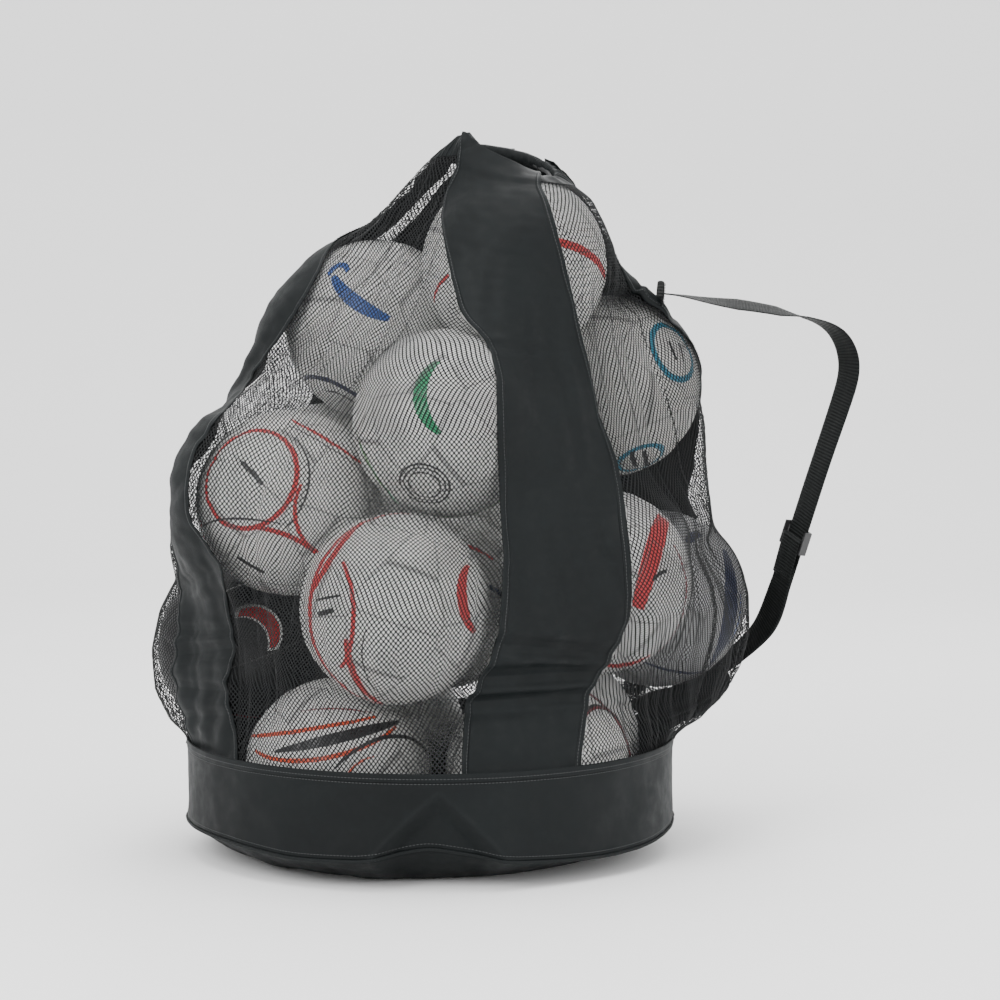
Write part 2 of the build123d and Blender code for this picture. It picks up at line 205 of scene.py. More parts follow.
def paired(across, up):
    """Cloth coordinates, from two arrays that fit each other's shape."""
    return np.stack(np.broadcast_arrays(across, up), -1)


def unit(vectors):
    vectors = np.asarray(vectors, float)
    return vectors / np.linalg.norm(vectors, axis=-1, keepdims=True)


def sheet_pair(name, outer, inner, closed=False, coords=None):
    """A cloth of real thickness: outer and inner grids joined round their edges."""
    rows, columns = outer.shape[:2]
    count = rows * columns
    quads = [grid_quads(rows, columns, closed), grid_quads(rows, columns, closed)[:, ::-1] + count]
    last = (rows - 1) * columns
    for u in range(columns if closed else columns - 1):
        a, b = u, (u + 1) % columns
        quads.append([[a, a + count, b + count, b], [last + a, last + b, last + b + count, last + a + count]])
    if not closed:
        v = np.arange(rows - 1) * columns
        w = v + columns
        quads.append(np.stack([v, w, w + count, v + count], -1))
        v, w = v + columns - 1, w + columns - 1
        quads.append(np.stack([v, v + count, w + count, w], -1))
    flat = None if coords is None else np.concatenate([coords.reshape(-1, 2)] * 2)
    points = np.concatenate([outer.reshape(-1, 3), inner.reshape(-1, 3)])
    return fast_mesh(name, points, np.concatenate([np.asarray(q).reshape(-1, 4) for q in quads]), flat)


# ---------------------------------------------------------------- shader helpers


class Nodes:
    """Adds nodes to one node tree."""

    def __init__(self, tree):
        self.tree = tree

    def add(self, kind, sockets=(), out=0, **settings):
        made = self.tree.nodes.new(kind)
        for key, value in settings.items():
            setattr(made, key, value)
        for key, value in dict(sockets).items():
            self.put(made.inputs[key], value)
        return made.outputs[out]

    def put(self, socket, value):
        if isinstance(value, bpy.types.NodeSocket):
            self.tree.links.new(value, socket)
        else:
            socket.default_value = value

    def math(self, operation, a, b=0.0, clamp=False):
        return self.add("ShaderNodeMath", {0: a, 1: b}, operation=operation, use_clamp=clamp)

    def dot(self, a, b):
        return self.add("ShaderNodeVectorMath", {0: a, 1: b}, "Value", operation="DOT_PRODUCT")


class Shader(Nodes):
    """Builds one procedural material."""

    def __init__(self, name):
        self.material = bpy.data.materials.new(name)
        self.material.use_nodes = True
        super().__init__(self.material.node_tree)
        self.surface = self.tree.nodes["Principled BSDF"]

    def set(self, **inputs):
        for key, value in inputs.items():
            self.put(self.surface.inputs[key.replace("_", " ")], value)

    def mix(self, share, a, b):
        made = self.tree.nodes.new("ShaderNodeMix")
        made.data_type = "RGBA"
        for index, value in ((0, share), (6, a), (7, b)):
            self.put(made.inputs[index], value)
        return made.outputs[2]

    def noise(self, scale, detail=3.0, place=None, roughness=0.55):
        sockets = {"Scale": scale, "Detail": detail, "Roughness": roughness}
        if place is not None:
            sockets["Vector"] = place
        return self.add("ShaderNodeTexNoise", sockets)

    def spread(self, value, low, high, to_low=0.0, to_high=1.0):
        return self.add(
            "ShaderNodeMapRange",
            {"Value": value, "From Min": low, "From Max": high, "To Min": to_low, "To Max": to_high},
        )

    def bump(self, height, strength, distance, after=None):
        sockets = {"Height": height, "Strength": strength, "Distance": distance}
        if after is not None:
            sockets["Normal"] = after
        return self.add("ShaderNodeBump", sockets)

    def place(self):
        return self.add("ShaderNodeTexCoord", out=3)

    def cloth(self):
        uv = self.add("ShaderNodeUVMap", uv_map="cloth")
        parts = self.tree.nodes.new("ShaderNodeSeparateXYZ")
        self.put(parts.inputs[0], uv)
        return parts.outputs[0], parts.outputs[1]

    def ripple(self, value, pitch):
        """0 to 1 wave with the given pitch in metres."""
        wave = self.math("SINE", self.math("MULTIPLY", value, 2 * math.pi / pitch))
        return self.math("ADD", self.math("MULTIPLY", wave, 0.5), 0.5)


def rgb(red, green, blue):
    return (red, green, blue, 1.0)


def coated_fabric():
    """Tight polyester weave with a coated, faintly shiny face."""
    s = Shader("coated_fabric")
    place = s.place()
    across, up = s.cloth()
    weave = s.math("MULTIPLY", s.ripple(across, 0.0011), s.ripple(up, 0.0011))
    twill = s.ripple(s.math("ADD", across, up), 0.0016)
    cloud = s.noise(5.0, 4.0, place)
    rub = s.noise(60.0, 4.0, place)
    dark = s.mix(s.spread(cloud, 0.35, 0.7), rgb(0.0024, 0.0034, 0.0037), rgb(0.0046, 0.0062, 0.0066))
    lit = s.mix(s.math("MULTIPLY", s.spread(rub, 0.52, 0.75), 0.30), dark, rgb(0.010, 0.0125, 0.0132))
    lit = s.mix(s.math("MULTIPLY", weave, 0.30), lit, rgb(0.0026, 0.0032, 0.0034))
    s.set(Base_Color=lit, Roughness=s.spread(rub, 0.3, 0.7, 0.50, 0.66))
    s.set(Sheen_Weight=0.006, Sheen_Roughness=0.4)
    s.set(Sheen_Tint=rgb(0.75, 0.85, 0.88), Specular_IOR_Level=0.13)
    fine = s.bump(weave, 0.30, 0.00025)
    fine = s.bump(twill, 0.10, 0.0002, fine)
    s.set(Normal=s.bump(s.noise(220.0, 3.0, place), 0.10, 0.0006, fine))
    return s.material


def net_yarn():
    """Knitted black polyester yarn."""
    s = Shader("net_yarn")
    place = s.place()
    knit = s.noise(900.0, 2.0, place)
    tone = s.mix(s.spread(knit, 0.35, 0.7), rgb(0.0025, 0.0028, 0.0030), rgb(0.009, 0.010, 0.0105))
    tone = s.mix(s.spread(s.noise(9.0, 3.0, place), 0.45, 0.75, 0.0, 0.4), tone, rgb(0.014, 0.015, 0.016))
    s.set(Base_Color=tone, Roughness=s.spread(knit, 0.3, 0.7, 0.6, 0.85))
    s.set(Sheen_Weight=0.01, Specular_IOR_Level=0.18)
    s.set(Normal=s.bump(knit, 0.5, 0.0003))
    return s.material


def ribbed_tape(name, dark, light, pitch, strength):
    """Woven tape or webbing: cross ribs and a fine warp."""
    s = Shader(name)
    place = s.place()
    across, up = s.cloth()
    rib = s.ripple(up, pitch)
    warp = s.ripple(across, 0.0013)
    pick = s.math("MULTIPLY", s.ripple(across, 0.0026), s.ripple(up, pitch / 2))
    fuzz = s.noise(420.0, 3.0, place)
    tone = s.mix(rib, dark, light)
    tone = s.mix(s.spread(fuzz, 0.5, 0.8, 0.0, 0.35), tone, rgb(0.024, 0.026, 0.026))
    tone = s.mix(s.math("MULTIPLY", warp, 0.22), tone, rgb(0.004, 0.005, 0.005))
    s.set(Base_Color=tone, Roughness=s.spread(fuzz, 0.3, 0.7, 0.56, 0.78))
    s.set(Sheen_Weight=0.008, Specular_IOR_Level=0.12)
    ribbed = s.bump(rib, strength, 0.0008)
    ribbed = s.bump(pick, 0.35, 0.0003, ribbed)
    s.set(Normal=s.bump(fuzz, 0.18, 0.0003, ribbed))
    return s.material


def braided_cord():
    s = Shader("braided_cord")
    across, up = s.cloth()
    left = s.ripple(s.math("ADD", up, across), 0.0026)
    right = s.ripple(s.math("SUBTRACT", up, across), 0.0026)
    braid = s.math("MULTIPLY", left, right)
    s.set(Base_Color=s.mix(braid, rgb(0.006, 0.006, 0.007), rgb(0.032, 0.034, 0.035)), Roughness=0.62)
    s.set(Normal=s.bump(braid, 0.7, 0.0006), Sheen_Weight=0.03)
    return s.material


def thread():
    s = Shader("thread")
    twist = s.noise(1400.0, 1.0, s.place())
    s.set(Base_Color=s.mix(twist, rgb(0.010, 0.011, 0.012), rgb(0.034, 0.037, 0.038)), Roughness=0.5)
    s.set(Normal=s.bump(twist, 0.5, 0.0002))
    return s.material


def moulded_plastic():
    """Black nylon moulding: fine spark grain, worn a little greyer on its corners."""
    s = Shader("moulded_plastic")
    place = s.place()
    grain = s.noise(1600.0, 2.0, place)
    cloud = s.noise(140.0, 4.0, place)
    worn = s.spread(s.add("ShaderNodeNewGeometry", out=7), 0.52, 0.62, 0.0, 0.22)
    tone = s.mix(cloud, rgb(0.008, 0.008, 0.009), rgb(0.020, 0.020, 0.021))
    s.set(Base_Color=s.mix(worn, tone, rgb(0.06, 0.06, 0.062)))
    s.set(Roughness=s.spread(cloud, 0.3, 0.7, 0.34, 0.52))
    s.set(Normal=s.bump(grain, 0.16, 0.0002))
    return s.material


def plated_steel():
    s = Shader("plated_steel")
    place = s.place()
    cloud = s.noise(160.0, 4.0, place)
    scratch = s.noise(1500.0, 2.0, place)
    s.set(Base_Color=s.mix(cloud, rgb(0.42, 0.42, 0.43), rgb(0.66, 0.66, 0.67)), Metallic=1.0)
    s.set(Roughness=s.spread(cloud, 0.3, 0.7, 0.22, 0.42), Normal=s.bump(scratch, 0.10, 0.0002))
    return s.material


def rubber(name, dark, light):
    s = Shader(name)
    cloud = s.noise(180.0, 4.0, s.place())
    s.set(Base_Color=s.mix(cloud, dark, light), Roughness=s.spread(cloud, 0.3, 0.7, 0.5, 0.7))
    s.set(Normal=s.bump(s.noise(900.0, 2.0, s.place()), 0.2, 0.0003))
    return s.material


def paint_with(made, material):
    made.data.materials.clear()
    made.data.materials.append(material)
    return made


FABRIC = coated_fabric()
YARN = net_yarn()
TAPE = ribbed_tape("edge_tape", rgb(0.004, 0.005, 0.0052), rgb(0.010, 0.012, 0.0125), 0.0016, 0.4)
WEBBING = ribbed_tape(
    "strap_webbing_weave", rgb(0.0025, 0.0030, 0.0030), rgb(0.012, 0.0135, 0.0132), 0.0040, 0.75
)
BRAID = braided_cord()
THREAD = thread()
PLASTIC = moulded_plastic()
STEEL = plated_steel()

# ---------------------------------------------------------------- the strap's path


def smooth_path(points, first_way, last_way, count):
    """Smooth line through points, leaving and arriving along the given ways."""
    points = np.asarray(points, float)
    far = along(points)
    size = len(points)
    step = np.diff(far)
    system = np.zeros((size, size))
    given = np.zeros((size, 3))
    system[0, 0] = system[-1, -1] = 1
    given[0], given[-1] = unit(first_way), unit(last_way)
    slope = np.diff(points, axis=0) / step[:, None]
    for k in range(1, size - 1):
        system[k, k - 1] = step[k]
        system[k, k] = 2 * (step[k - 1] + step[k])
        system[k, k + 1] = step[k - 1]
        given[k] = 3 * (slope[k - 1] * step[k] + slope[k] * step[k - 1])
    ways = np.linalg.solve(system, given)
    where = np.linspace(0, far[-1], count)
    k = np.clip(np.searchsorted(far, where, "right") - 1, 0, size - 2)
    t = ((where - far[k]) / step[k])[:, None]
    wide = step[k][:, None]
    return (
        points[k] * (2 * t**3 - 3 * t**2 + 1) + ways[k] * wide * (t**3 - 2 * t**2 + t)
        + points[k + 1] * (3 * t**2 - 2 * t**3) + ways[k + 1] * wide * (t**3 - t**2)
    )


WEB_W, WEB_T = 0.038, 0.0016
RADIAL = np.array([math.cos(math.radians(32)), math.sin(math.radians(32)), 0])
ROUND = np.array([-RADIAL[1], RADIAL[0], 0])
RING_SLOPE = unit(RADIAL * 0.913 + np.array([0, 0, 0.408]))
RING_AT = RADIAL * 0.321 + np.array([0, 0, 0.135])
NEAR_BAR = RING_AT - RING_SLOPE * 0.015
RUN = unit([-0.27, 0.20, -0.94])
ACROSS_RUN = np.array([-0.52, 0.854, 0])
SLIDER_AT = np.array([0.450, 0.113, 0.362])
STRAP_TOP = np.array([0.28325, 0.05015, 0.66432])
PATCH_OUT = np.array([0.9715, 0.2243, -0.0763])
PATCH_ROUND = unit(np.cross([0, 0, 1.0], PATCH_OUT))
TURN_R = 0.0034
LAYER = 0.0022
UPPER_WAY = [
    STRAP_TOP, (0.329, 0.065, 0.657), (0.380, 0.069, 0.650), (0.448, 0.075, 0.637), (0.494, 0.079, 0.616),
    (0.510, 0.084, 0.578), (0.504, 0.089, 0.540), (0.490, 0.093, 0.495), SLIDER_AT - RUN * 0.068,
]
LOWER_WAY = [
    SLIDER_AT + RUN * 0.060, (0.414, 0.158, 0.245), (0.366, 0.180, 0.195),
    RING_AT + RING_SLOPE * 0.042, RING_AT,
]
ACROSS_KEYS = (
    (0.00, PATCH_ROUND), (0.08, (-0.20, 0.97, 0.12)), (0.22, (-0.15, 0.93, 0.34)),
    (0.34, (-0.20, 0.92, 0.30)),
    (0.42, (-0.50, 0.86, 0.05)), (0.60, (-0.60, 0.80, 0.0)), (1.00, ACROSS_RUN),
)


def square_up(across, way):
    return unit(across - way * (across * way).sum(-1, keepdims=True))


upper = smooth_path(UPPER_WAY, PATCH_OUT, RUN, 260)
share = along(upper) / along(upper)[-1]
keys = np.array([key for key, _ in ACROSS_KEYS])
key_ways = np.array([way for _, way in ACROSS_KEYS])
across_upper = at_distance(share, keys, key_ways)
wide_upper = WEB_W * np.interp(share, [0, 0.08, 1], [0.35, 1, 1])
lower = smooth_path(LOWER_WAY, RUN, -RING_SLOPE, 150)
lower_share = np.linspace(0, 1, 150)[:, None]
lower_way = unit(np.gradient(lower, axis=0))
lower_across = square_up(ACROSS_RUN * (1 - lower_share) + ROUND * lower_share, lower_way)
lower_out = np.cross(lower_across, lower_way)
lower_out = lower_out * np.sign(lower_out @ RADIAL)[:, None]
parting = smooth_step(0.8, 1.0, lower_share)
main_lower = lower + lower_out * TURN_R * parting
back_lower = lower - lower_out * (LAYER * (1 - parting) + TURN_R * parting)
turning = np.radians(np.arange(15, 180, 15))[:, None]
ring_way, ring_out = lower_way[-1], lower_out[-1]
bend = RING_AT + ring_out * TURN_R * np.cos(turning) + ring_way * TURN_R * np.sin(turning)
straight = np.linspace(upper[-1], lower[0], 40)[1:-1]
run_across = square_up(ACROSS_RUN, RUN)
run_out = np.cross(run_across, RUN)
run_out = run_out * math.copysign(1, run_out @ RADIAL)
back_top = SLIDER_AT + RUN * 0.033 - run_out * LAYER
back_run = np.linspace(back_lower[0], back_top, 12)[1:]
centres = np.concatenate([upper, straight, main_lower, bend, back_lower[::-1], back_run])
across = np.concatenate([
    across_upper, np.repeat(run_across[None], len(straight), 0), lower_across,
    np.repeat(lower_across[-1:], len(bend), 0), lower_across[::-1],
    np.repeat(run_across[None], len(back_run), 0),
])
wide = np.concatenate([wide_upper, np.full(len(centres) - len(upper), WEB_W)])
SWING = JOINTS["strap_swing"]


def swung(points, degrees):
    """Points on the strap when it has swung by some degrees."""
    pivot, axis = np.array(SWING["pos_m"]), unit(SWING["axis"])
    away, angle = points - pivot, math.radians(degrees)
    rise = (away @ axis)[:, None] * axis
    return pivot + rise + (away - rise) * math.cos(angle) + np.cross(axis, away) * math.sin(angle)


# ---------------------------------------------------------------- the wall's shape

NU, NV = 320, 136
WALL_FOOT, FOOT_GAP, START_GAP = 0.005, 0.0008, 0.012
WALL_END, NECK_START, NECK_RISE = 0.832, 0.70, 0.132

# height of the mouth's rim at each turn in degrees: a peak at the front panel's tip, low at the front right
RIM = (
    (-180, 0.850), (-160, 0.855), (-146, 0.857), (-120, 0.838), (-90, 0.822), (-60, 0.808), (-40, 0.800),
    (-20, 0.805), (0, 0.812), (30, 0.822), (60, 0.832), (90, 0.839), (120, 0.843), (150, 0.846), (180, 0.850),
)
# the bag's outline as it appears from the front: x at rising heights
LEFT_SIDE = (
    (-0.2915, 0.137), (-0.312, 0.155), (-0.330, 0.191), (-0.334, 0.239), (-0.324, 0.287), (-0.305, 0.323),
    (-0.312, 0.359), (-0.310, 0.443), (-0.305, 0.467), (-0.294, 0.485), (-0.275, 0.516), (-0.229, 0.566),
    (-0.208, 0.620), (-0.188, 0.663), (-0.143, 0.711), (-0.106, 0.733), (-0.079, 0.746), (-0.055, 0.768),
    (-0.004, 0.824), (0.036, 0.852),
)
RIGHT_SIDE = (
    (0.294, 0.137), (0.348, 0.179), (0.378, 0.221), (0.384, 0.251), (0.382, 0.308), (0.370, 0.345),
    (0.342, 0.384), (0.338, 0.413), (0.332, 0.468), (0.330, 0.511), (0.317, 0.573), (0.307, 0.607),
    (0.282, 0.651), (0.270, 0.665), (0.229, 0.698), (0.221, 0.720), (0.209, 0.750), (0.194, 0.779),
    (0.151, 0.813), (0.131, 0.828),
)


def centre_line(z):
    rise = (np.asarray(z) - BAND_TOP) / (WALL_TOP - BAND_TOP)
    return np.stack([NECK[0] * rise, NECK[1] * rise], -1)


def hull_radius(turns, z):
    """Radius of a taut skin over the balls at one height, about the leaning centre line."""
    off = np.abs(z - CENTRES[:, 2]) / BALL_R
    on_ball = BALL_R * np.sqrt(np.maximum(1 - off * off, 0))
    reach = np.where(off < 0.8, on_ball, BALL_R * (0.6 - 1.2 * (off - 0.8)))
    held = reach > 0
    spots = CENTRES[held, :2] - centre_line(z)
    ways = np.radians(np.arange(0, 360, 4))
    spans = np.cos(ways)[:, None] * spots[:, 0] + np.sin(ways)[:, None] * spots[:, 1] + reach[held]
    lean = np.cos(turns[:, None] - ways[None, :])
    radius = np.where(lean > 0.25, spans.max(axis=1)[None, :] / np.maximum(lean, 0.25), 9.0)
    return radius.min(axis=1)


def keep_off(points, gap):
    """Moves points out of the balls."""
    for centre in CENTRES:
        away = points - centre
        far = np.sqrt((away * away).sum(-1))
        inside = far < BALL_R + gap
        if inside.any():
            points[inside] = centre + away[inside] / far[inside][:, None] * (BALL_R + gap)
    return points


def finer(grid):
    """Twice as many points each way, on smooth curves through the old ones."""
    a, b, c, d = np.roll(grid, 1, 1), grid, np.roll(grid, -1, 1), np.roll(grid, -2, 1)
    wide = np.empty((grid.shape[0], grid.shape[1] * 2, 3))
    wide[:, 0::2] = grid
    wide[:, 1::2] = (-a + 9 * b + 9 * c - d) / 16
    more = np.concatenate([2 * wide[:1] - wide[1:2], wide, 2 * wide[-1:] - wide[-2:-1]])
    tall = np.empty((wide.shape[0] * 2 - 1, wide.shape[1], 3))
    tall[0::2] = wide
    tall[1::2] = (-more[:-3] + 9 * more[1:-2] + 9 * more[2:-1] - more[3:]) / 16
    return tall


turns = np.arange(NU) / NU * 2 * math.pi
rim_z = np.interp(np.degrees((turns + math.pi) % (2 * math.pi) - math.pi), *zip(*RIM))
GAP = 0.0014


def starting_wall():
    heights = np.linspace(BAND_TOP - WALL_FOOT, WALL_END, NV)
    wall = np.zeros((NV, NU, 3))
    for row, z in enumerate(heights):
        radius = hull_radius(turns, min(z, 0.79)) + START_GAP
        edge = smooth_step(BAND_TOP + 0.05, BAND_TOP, z)
        radius = radius * (1 - edge) + (BAND_R - FOOT_GAP) * edge
        neck = smooth_step(0.74, 0.83, z)
        radius = radius * (1 - neck) + NECK_R * neck
        middle = centre_line(min(z, WALL_TOP))
        wall[row, :, 0] = middle[0] + radius * np.cos(turns)
        wall[row, :, 1] = middle[1] + radius * np.sin(turns)
        wall[row, :, 2] = z + max(z - NECK_START, 0) / NECK_RISE * (rim_z - WALL_END)
    return heights, wall


heights, wall = starting_wall()
anchor_turn = math.atan2(*(ANCHOR[:2] - centre_line(ANCHOR[2]))[::-1])
anchor_u = int(round(anchor_turn / (2 * math.pi) * NU)) % NU
anchor_v = int(np.argmin(np.abs(heights - ANCHOR[2])))
pinned = np.zeros((NV, NU), bool)
pinned[0] = True
pinned[-1] = True
for dv in (-2, -1, 0, 1, 2):
    for du in (-1, 0, 1):
        pinned[anchor_v + dv, (anchor_u + du) % NU] = True
        held_at = ANCHOR + np.array([-0.005 - 0.001 * dv, du * 0.005, dv * 0.005])
        wall[anchor_v + dv, (anchor_u + du) % NU] = held_at
fixed_at = wall[pinned].copy()
TAUT_STEPS, CLOTH_STEPS, SINKING_STEPS = 240, 220, 170
SINK = 0.00010
STRETCH_BACK, CRUMPLE_UP, CRUMPLE_ROUND = 0.5, 0.12, 0.30


def held_off(wall):
    """The wall with its pinned points in place and the rest outside the balls."""
    wall[pinned] = fixed_at
    wall = keep_off(wall, GAP)
    wall[pinned] = fixed_at
    return wall


def neighbours(wall):
    """Middle of each point's neighbours, round the bag and up it."""
    around = (np.roll(wall, 1, 1) + np.roll(wall, -1, 1)) / 2
    above = wall.copy()
    above[1:-1] = (wall[:-2] + wall[2:]) / 2
    return around, above


def share_to_move(far, rest, crumple):
    """Share of its length that each of two joined points moves by."""
    return (far - rest) / np.maximum(far, 1e-9) * np.where(far > rest, STRETCH_BACK, crumple)


# a taut skin first
for _ in range(TAUT_STEPS):
    around, above = neighbours(wall)
    wall = held_off(wall + 0.5 * ((around + above) / 2 - wall))

# then cloth wider than the taut skin, which hangs in folds between the balls
around_length = np.linalg.norm(np.roll(wall, -1, 1) - wall, axis=-1)
slack = np.minimum(2.16 / around_length.sum(axis=1), 1.10 + 0.16 * smooth_step(0.62, 0.80, heights))
rest_around = around_length * np.maximum(slack, 1.0)[:, None]
rest_up = np.linalg.norm(wall[1:] - wall[:-1], axis=-1) * 1.012
spread = turns[None, :] * 0.33
level = heights[:, None] + 0 * spread
loose = smooth_step(BAND_TOP, BAND_TOP + 0.03, level) * smooth_step(WALL_END, 0.80, level)
start_folds = np.maximum(waves(spread + 0.25 * level, level * 0.35, 5, 14, 0.035, 0.11), -0.4)
wall = wall + row_normals(wall, closed=True) * (0.004 * start_folds * loose)[..., None]
wall[pinned] = fixed_at
for step in range(CLOTH_STEPS):
    if step < SINKING_STEPS:
        wall[1:-1, :, 2] -= SINK
    for start in (0, 1):
        a = np.arange(start, NU, 2)
        b = (a + 1) % NU
        reach = wall[:, b] - wall[:, a]
        push = share_to_move(np.linalg.norm(reach, axis=-1), rest_around[:, a], CRUMPLE_ROUND)
        wall[:, a] += reach * push[..., None]
        wall[:, b] -= reach * push[..., None]
    for start in (0, 1):
        a = np.arange(start, NV - 1, 2)
        reach = wall[a + 1] - wall[a]
        push = share_to_move(np.linalg.norm(reach, axis=-1), rest_up[a], CRUMPLE_UP)
        wall[a] += reach * push[..., None]
        wall[a + 1] -= reach * push[..., None]
    around, above = neighbours(wall)
    wall = held_off(wall + 0.10 * (above - wall) + 0.035 * (around - wall))

skin = finer(wall)
SV, SU = skin.shape[:2]


# how far a side may be eased in and out, and how far round the bag that reaches in radians
EASED_IN, EASED_OUT, EASED_ROUND = 0.012, 0.055, 0.55


def fill_out(skin, outline, side):
    """Eases one side of the cloth in or out to its outline from the front."""
    x, z = seen(skin)
    outer = np.argmax(x * side, axis=1)
    rows = np.arange(SV)
    steps = np.unwrap(outer / SU * 2 * math.pi)
    steps = np.convolve(np.pad(steps, 12, "edge"), np.ones(25) / 25, "valid")
    outline_x, outline_z = zip(*outline)
    wanted = np.interp(z[rows, outer], outline_z, outline_x)
    short = np.clip((wanted - x[rows, outer]) * side, -EASED_IN, EASED_OUT)
    short = np.convolve(np.pad(short, 2, "edge"), np.ones(5) / 5, "valid")
    apart = (np.arange(SU)[None, :] / SU * 2 * math.pi - steps[:, None] + math.pi) % (2 * math.pi) - math.pi
    lift = short[:, None] * np.exp(-((apart / EASED_ROUND) ** 2)) * smooth_step(0, 4, rows)[:, None]
    skin[..., 0] += side * lift
    return skin


skin = fill_out(skin, LEFT_SIDE, -1)
skin = fill_out(skin, RIGHT_SIDE, 1)
rows = np.arange(SV)

RING_DEPTHS = (0.0, 0.0075, 0.015)
RING_WIDTHS = (-0.0224, -0.011, 0.0, 0.011, 0.0224)
STRAP_CLEARANCE, SEWN_END = 0.0085, 0.045
PRESS_WITHIN, PRESS_SPREAD = 0.05, 0.028
LOCK_CLEARANCE = 0.0048


def clear_of_strap(skin, clearance):
    """Presses the cloth in round the places that the strap and its ring swing through."""
    middle = centres[::2]
    half = (across * wide[:, None] / 2)[::2]
    free = np.linalg.norm(middle - STRAP_TOP, axis=1) > SEWN_END
    first, last = SWING["range_deg"]
    edge_points = [middle[free] + half[free] * part for part in (-1, 0, 1)]
    ring_edge = [
        NEAR_BAR + RING_SLOPE * down + ROUND * side for down in RING_DEPTHS for side in RING_WIDTHS
    ]
    edge_points.append(np.array(ring_edge))
    stops = (first, 0, 0.4 * last, 0.7 * last, last)
    swept = np.concatenate([swung(line, stop) for line in edge_points for stop in stops])
    near = skin[..., 0] > 0.12
    spots = skin[near].astype(np.float32)
    normals = row_normals(skin, closed=True)[near].astype(np.float32)
    press = np.zeros(len(spots), np.float32)
    for point in swept.astype(np.float32):
        away = spots - point
        far = (away * away).sum(1)
        q = int(np.argmin(far))
        short = clearance - float(-away[q] @ normals[q])
        if short > 0 and far[q] < PRESS_WITHIN**2:
            apart = ((spots - spots[q]) ** 2).sum(1)
            press = np.maximum(press, short * np.exp(-apart / PRESS_SPREAD**2))
    skin[near] = spots - normals * press[:, None]
    return skin


def clear_of_lock(skin):
    """Keeps the mouth's cloth inside the place where the cord lock slides up to it."""
    low = node_box("cord_lock_body")[0]
    limit = low[1] + JOINTS["lock_slide"]["range_m"][0] - NECK[1] - LOCK_CLEARANCE
    away = skin[..., :2] - NECK
    radius = np.linalg.norm(away, axis=-1)
    heading = np.degrees(np.arctan2(away[..., 1], away[..., 0]))
    high_up = smooth_step(low[2] - 0.024, low[2] - 0.005, skin[..., 2])
    share = smooth_step(50, 26, np.abs(heading - 90)) * high_up
    excess = np.maximum(radius - limit, 0) * share
    skin[..., :2] -= away * (excess / np.maximum(radius, 1e-6))[..., None]
    return skin


for _ in range(2):
    skin = clear_of_strap(skin, STRAP_CLEARANCE)
    skin = keep_off(skin, GAP)
skin = clear_of_lock(skin)


def sample(grid, v, u):
    """Point at fractional row v and column u, closed round the bag."""
    v, u = np.broadcast_arrays(np.clip(v, 0, grid.shape[0] - 1.000001), np.mod(u, grid.shape[1]))
    v0 = np.floor(v).astype(int)
    u0 = np.floor(u).astype(int) % grid.shape[1]
    u1 = (u0 + 1) % grid.shape[1]
    fv = (v - v0)[..., None]
    fu = (u - np.floor(u))[..., None]
    low = grid[v0, u0] * (1 - fu) + grid[v0, u1] * fu
    high = grid[v0 + 1, u0] * (1 - fu) + grid[v0 + 1, u1] * fu
    return low * (1 - fv) + high * fv


ROW_STEP = float(np.linalg.norm(skin[-1] - skin[-2], axis=-1).mean())
skin_normals = row_normals(skin, closed=True)
skin_x, skin_z = seen(skin)

# ---------------------------------------------------------------- where the panels meet the net

# the front panel's edges and the left panel's inner edge as they appear from the front: x at falling z
FRONT_LEFT = (
    (0.037, 0.845), (0.035, 0.824), (0.017, 0.782), (0.014, 0.757), (0.020, 0.717), (0.030, 0.666),
    (0.037, 0.642), (0.070, 0.605), (0.079, 0.569), (0.080, 0.503), (0.084, 0.407), (0.088, 0.347),
    (0.084, 0.287), (0.080, 0.251), (0.060, 0.203), (0.042, 0.179), (0.038, 0.119),
)
FRONT_RIGHT = (
    (0.132, 0.795), (0.142, 0.777), (0.152, 0.741), (0.160, 0.710), (0.175, 0.642), (0.190, 0.581),
    (0.202, 0.519), (0.224, 0.467), (0.234, 0.407), (0.241, 0.347), (0.242, 0.311), (0.238, 0.275),
    (0.214, 0.221), (0.192, 0.191), (0.181, 0.109),
)
LEFT_INNER = (
    (-0.106, 0.731), (-0.132, 0.692), (-0.149, 0.660), (-0.178, 0.615), (-0.202, 0.585), (-0.221, 0.551),
    (-0.251, 0.518), (-0.280, 0.479), (-0.289, 0.443), (-0.287, 0.396), (-0.270, 0.371), (-0.248, 0.338),
    (-0.242, 0.299), (-0.233, 0.251), (-0.234, 0.221), (-0.244, 0.200), (-0.238, 0.167), (-0.230, 0.133),
)


def edge_column(line, low, high):
    """Column of the skin, row by row, where it meets a line drawn in the front view."""
    x, z = np.array(line).T
    found = np.zeros(SV)
    spots = np.arange(low, high)
    for v in rows:
        cols = spots % SU
        off = skin_x[v, cols] - np.interp(skin_z[v, cols], z[::-1], x[::-1])
        facing = skin_normals[v, cols, 1] < 0.15
        cross = np.nonzero((off[:-1] < 0) & (off[1:] >= 0) & facing[:-1])[0]
        if len(cross):
            k = cross[-1]
            found[v] = spots[k] + off[k] / (off[k] - off[k + 1])
        else:
            found[v] = np.nan
    good = ~np.isnan(found)
    found = np.interp(rows, rows[good], found[good])
    return np.convolve(np.pad(found, 3, "edge"), np.ones(7) / 7, "valid")


def step_round(start, distance):
    """Columns a given distance round from the start columns, row by row."""
    moved = np.zeros(SV)
    for v in rows:
        cols = start[v] + np.linspace(0, math.copysign(220, distance[v]), 441)
        line = sample(skin, np.full(441, float(v)), cols)
        moved[v] = np.interp(abs(distance[v]), along(line), cols)
    return moved


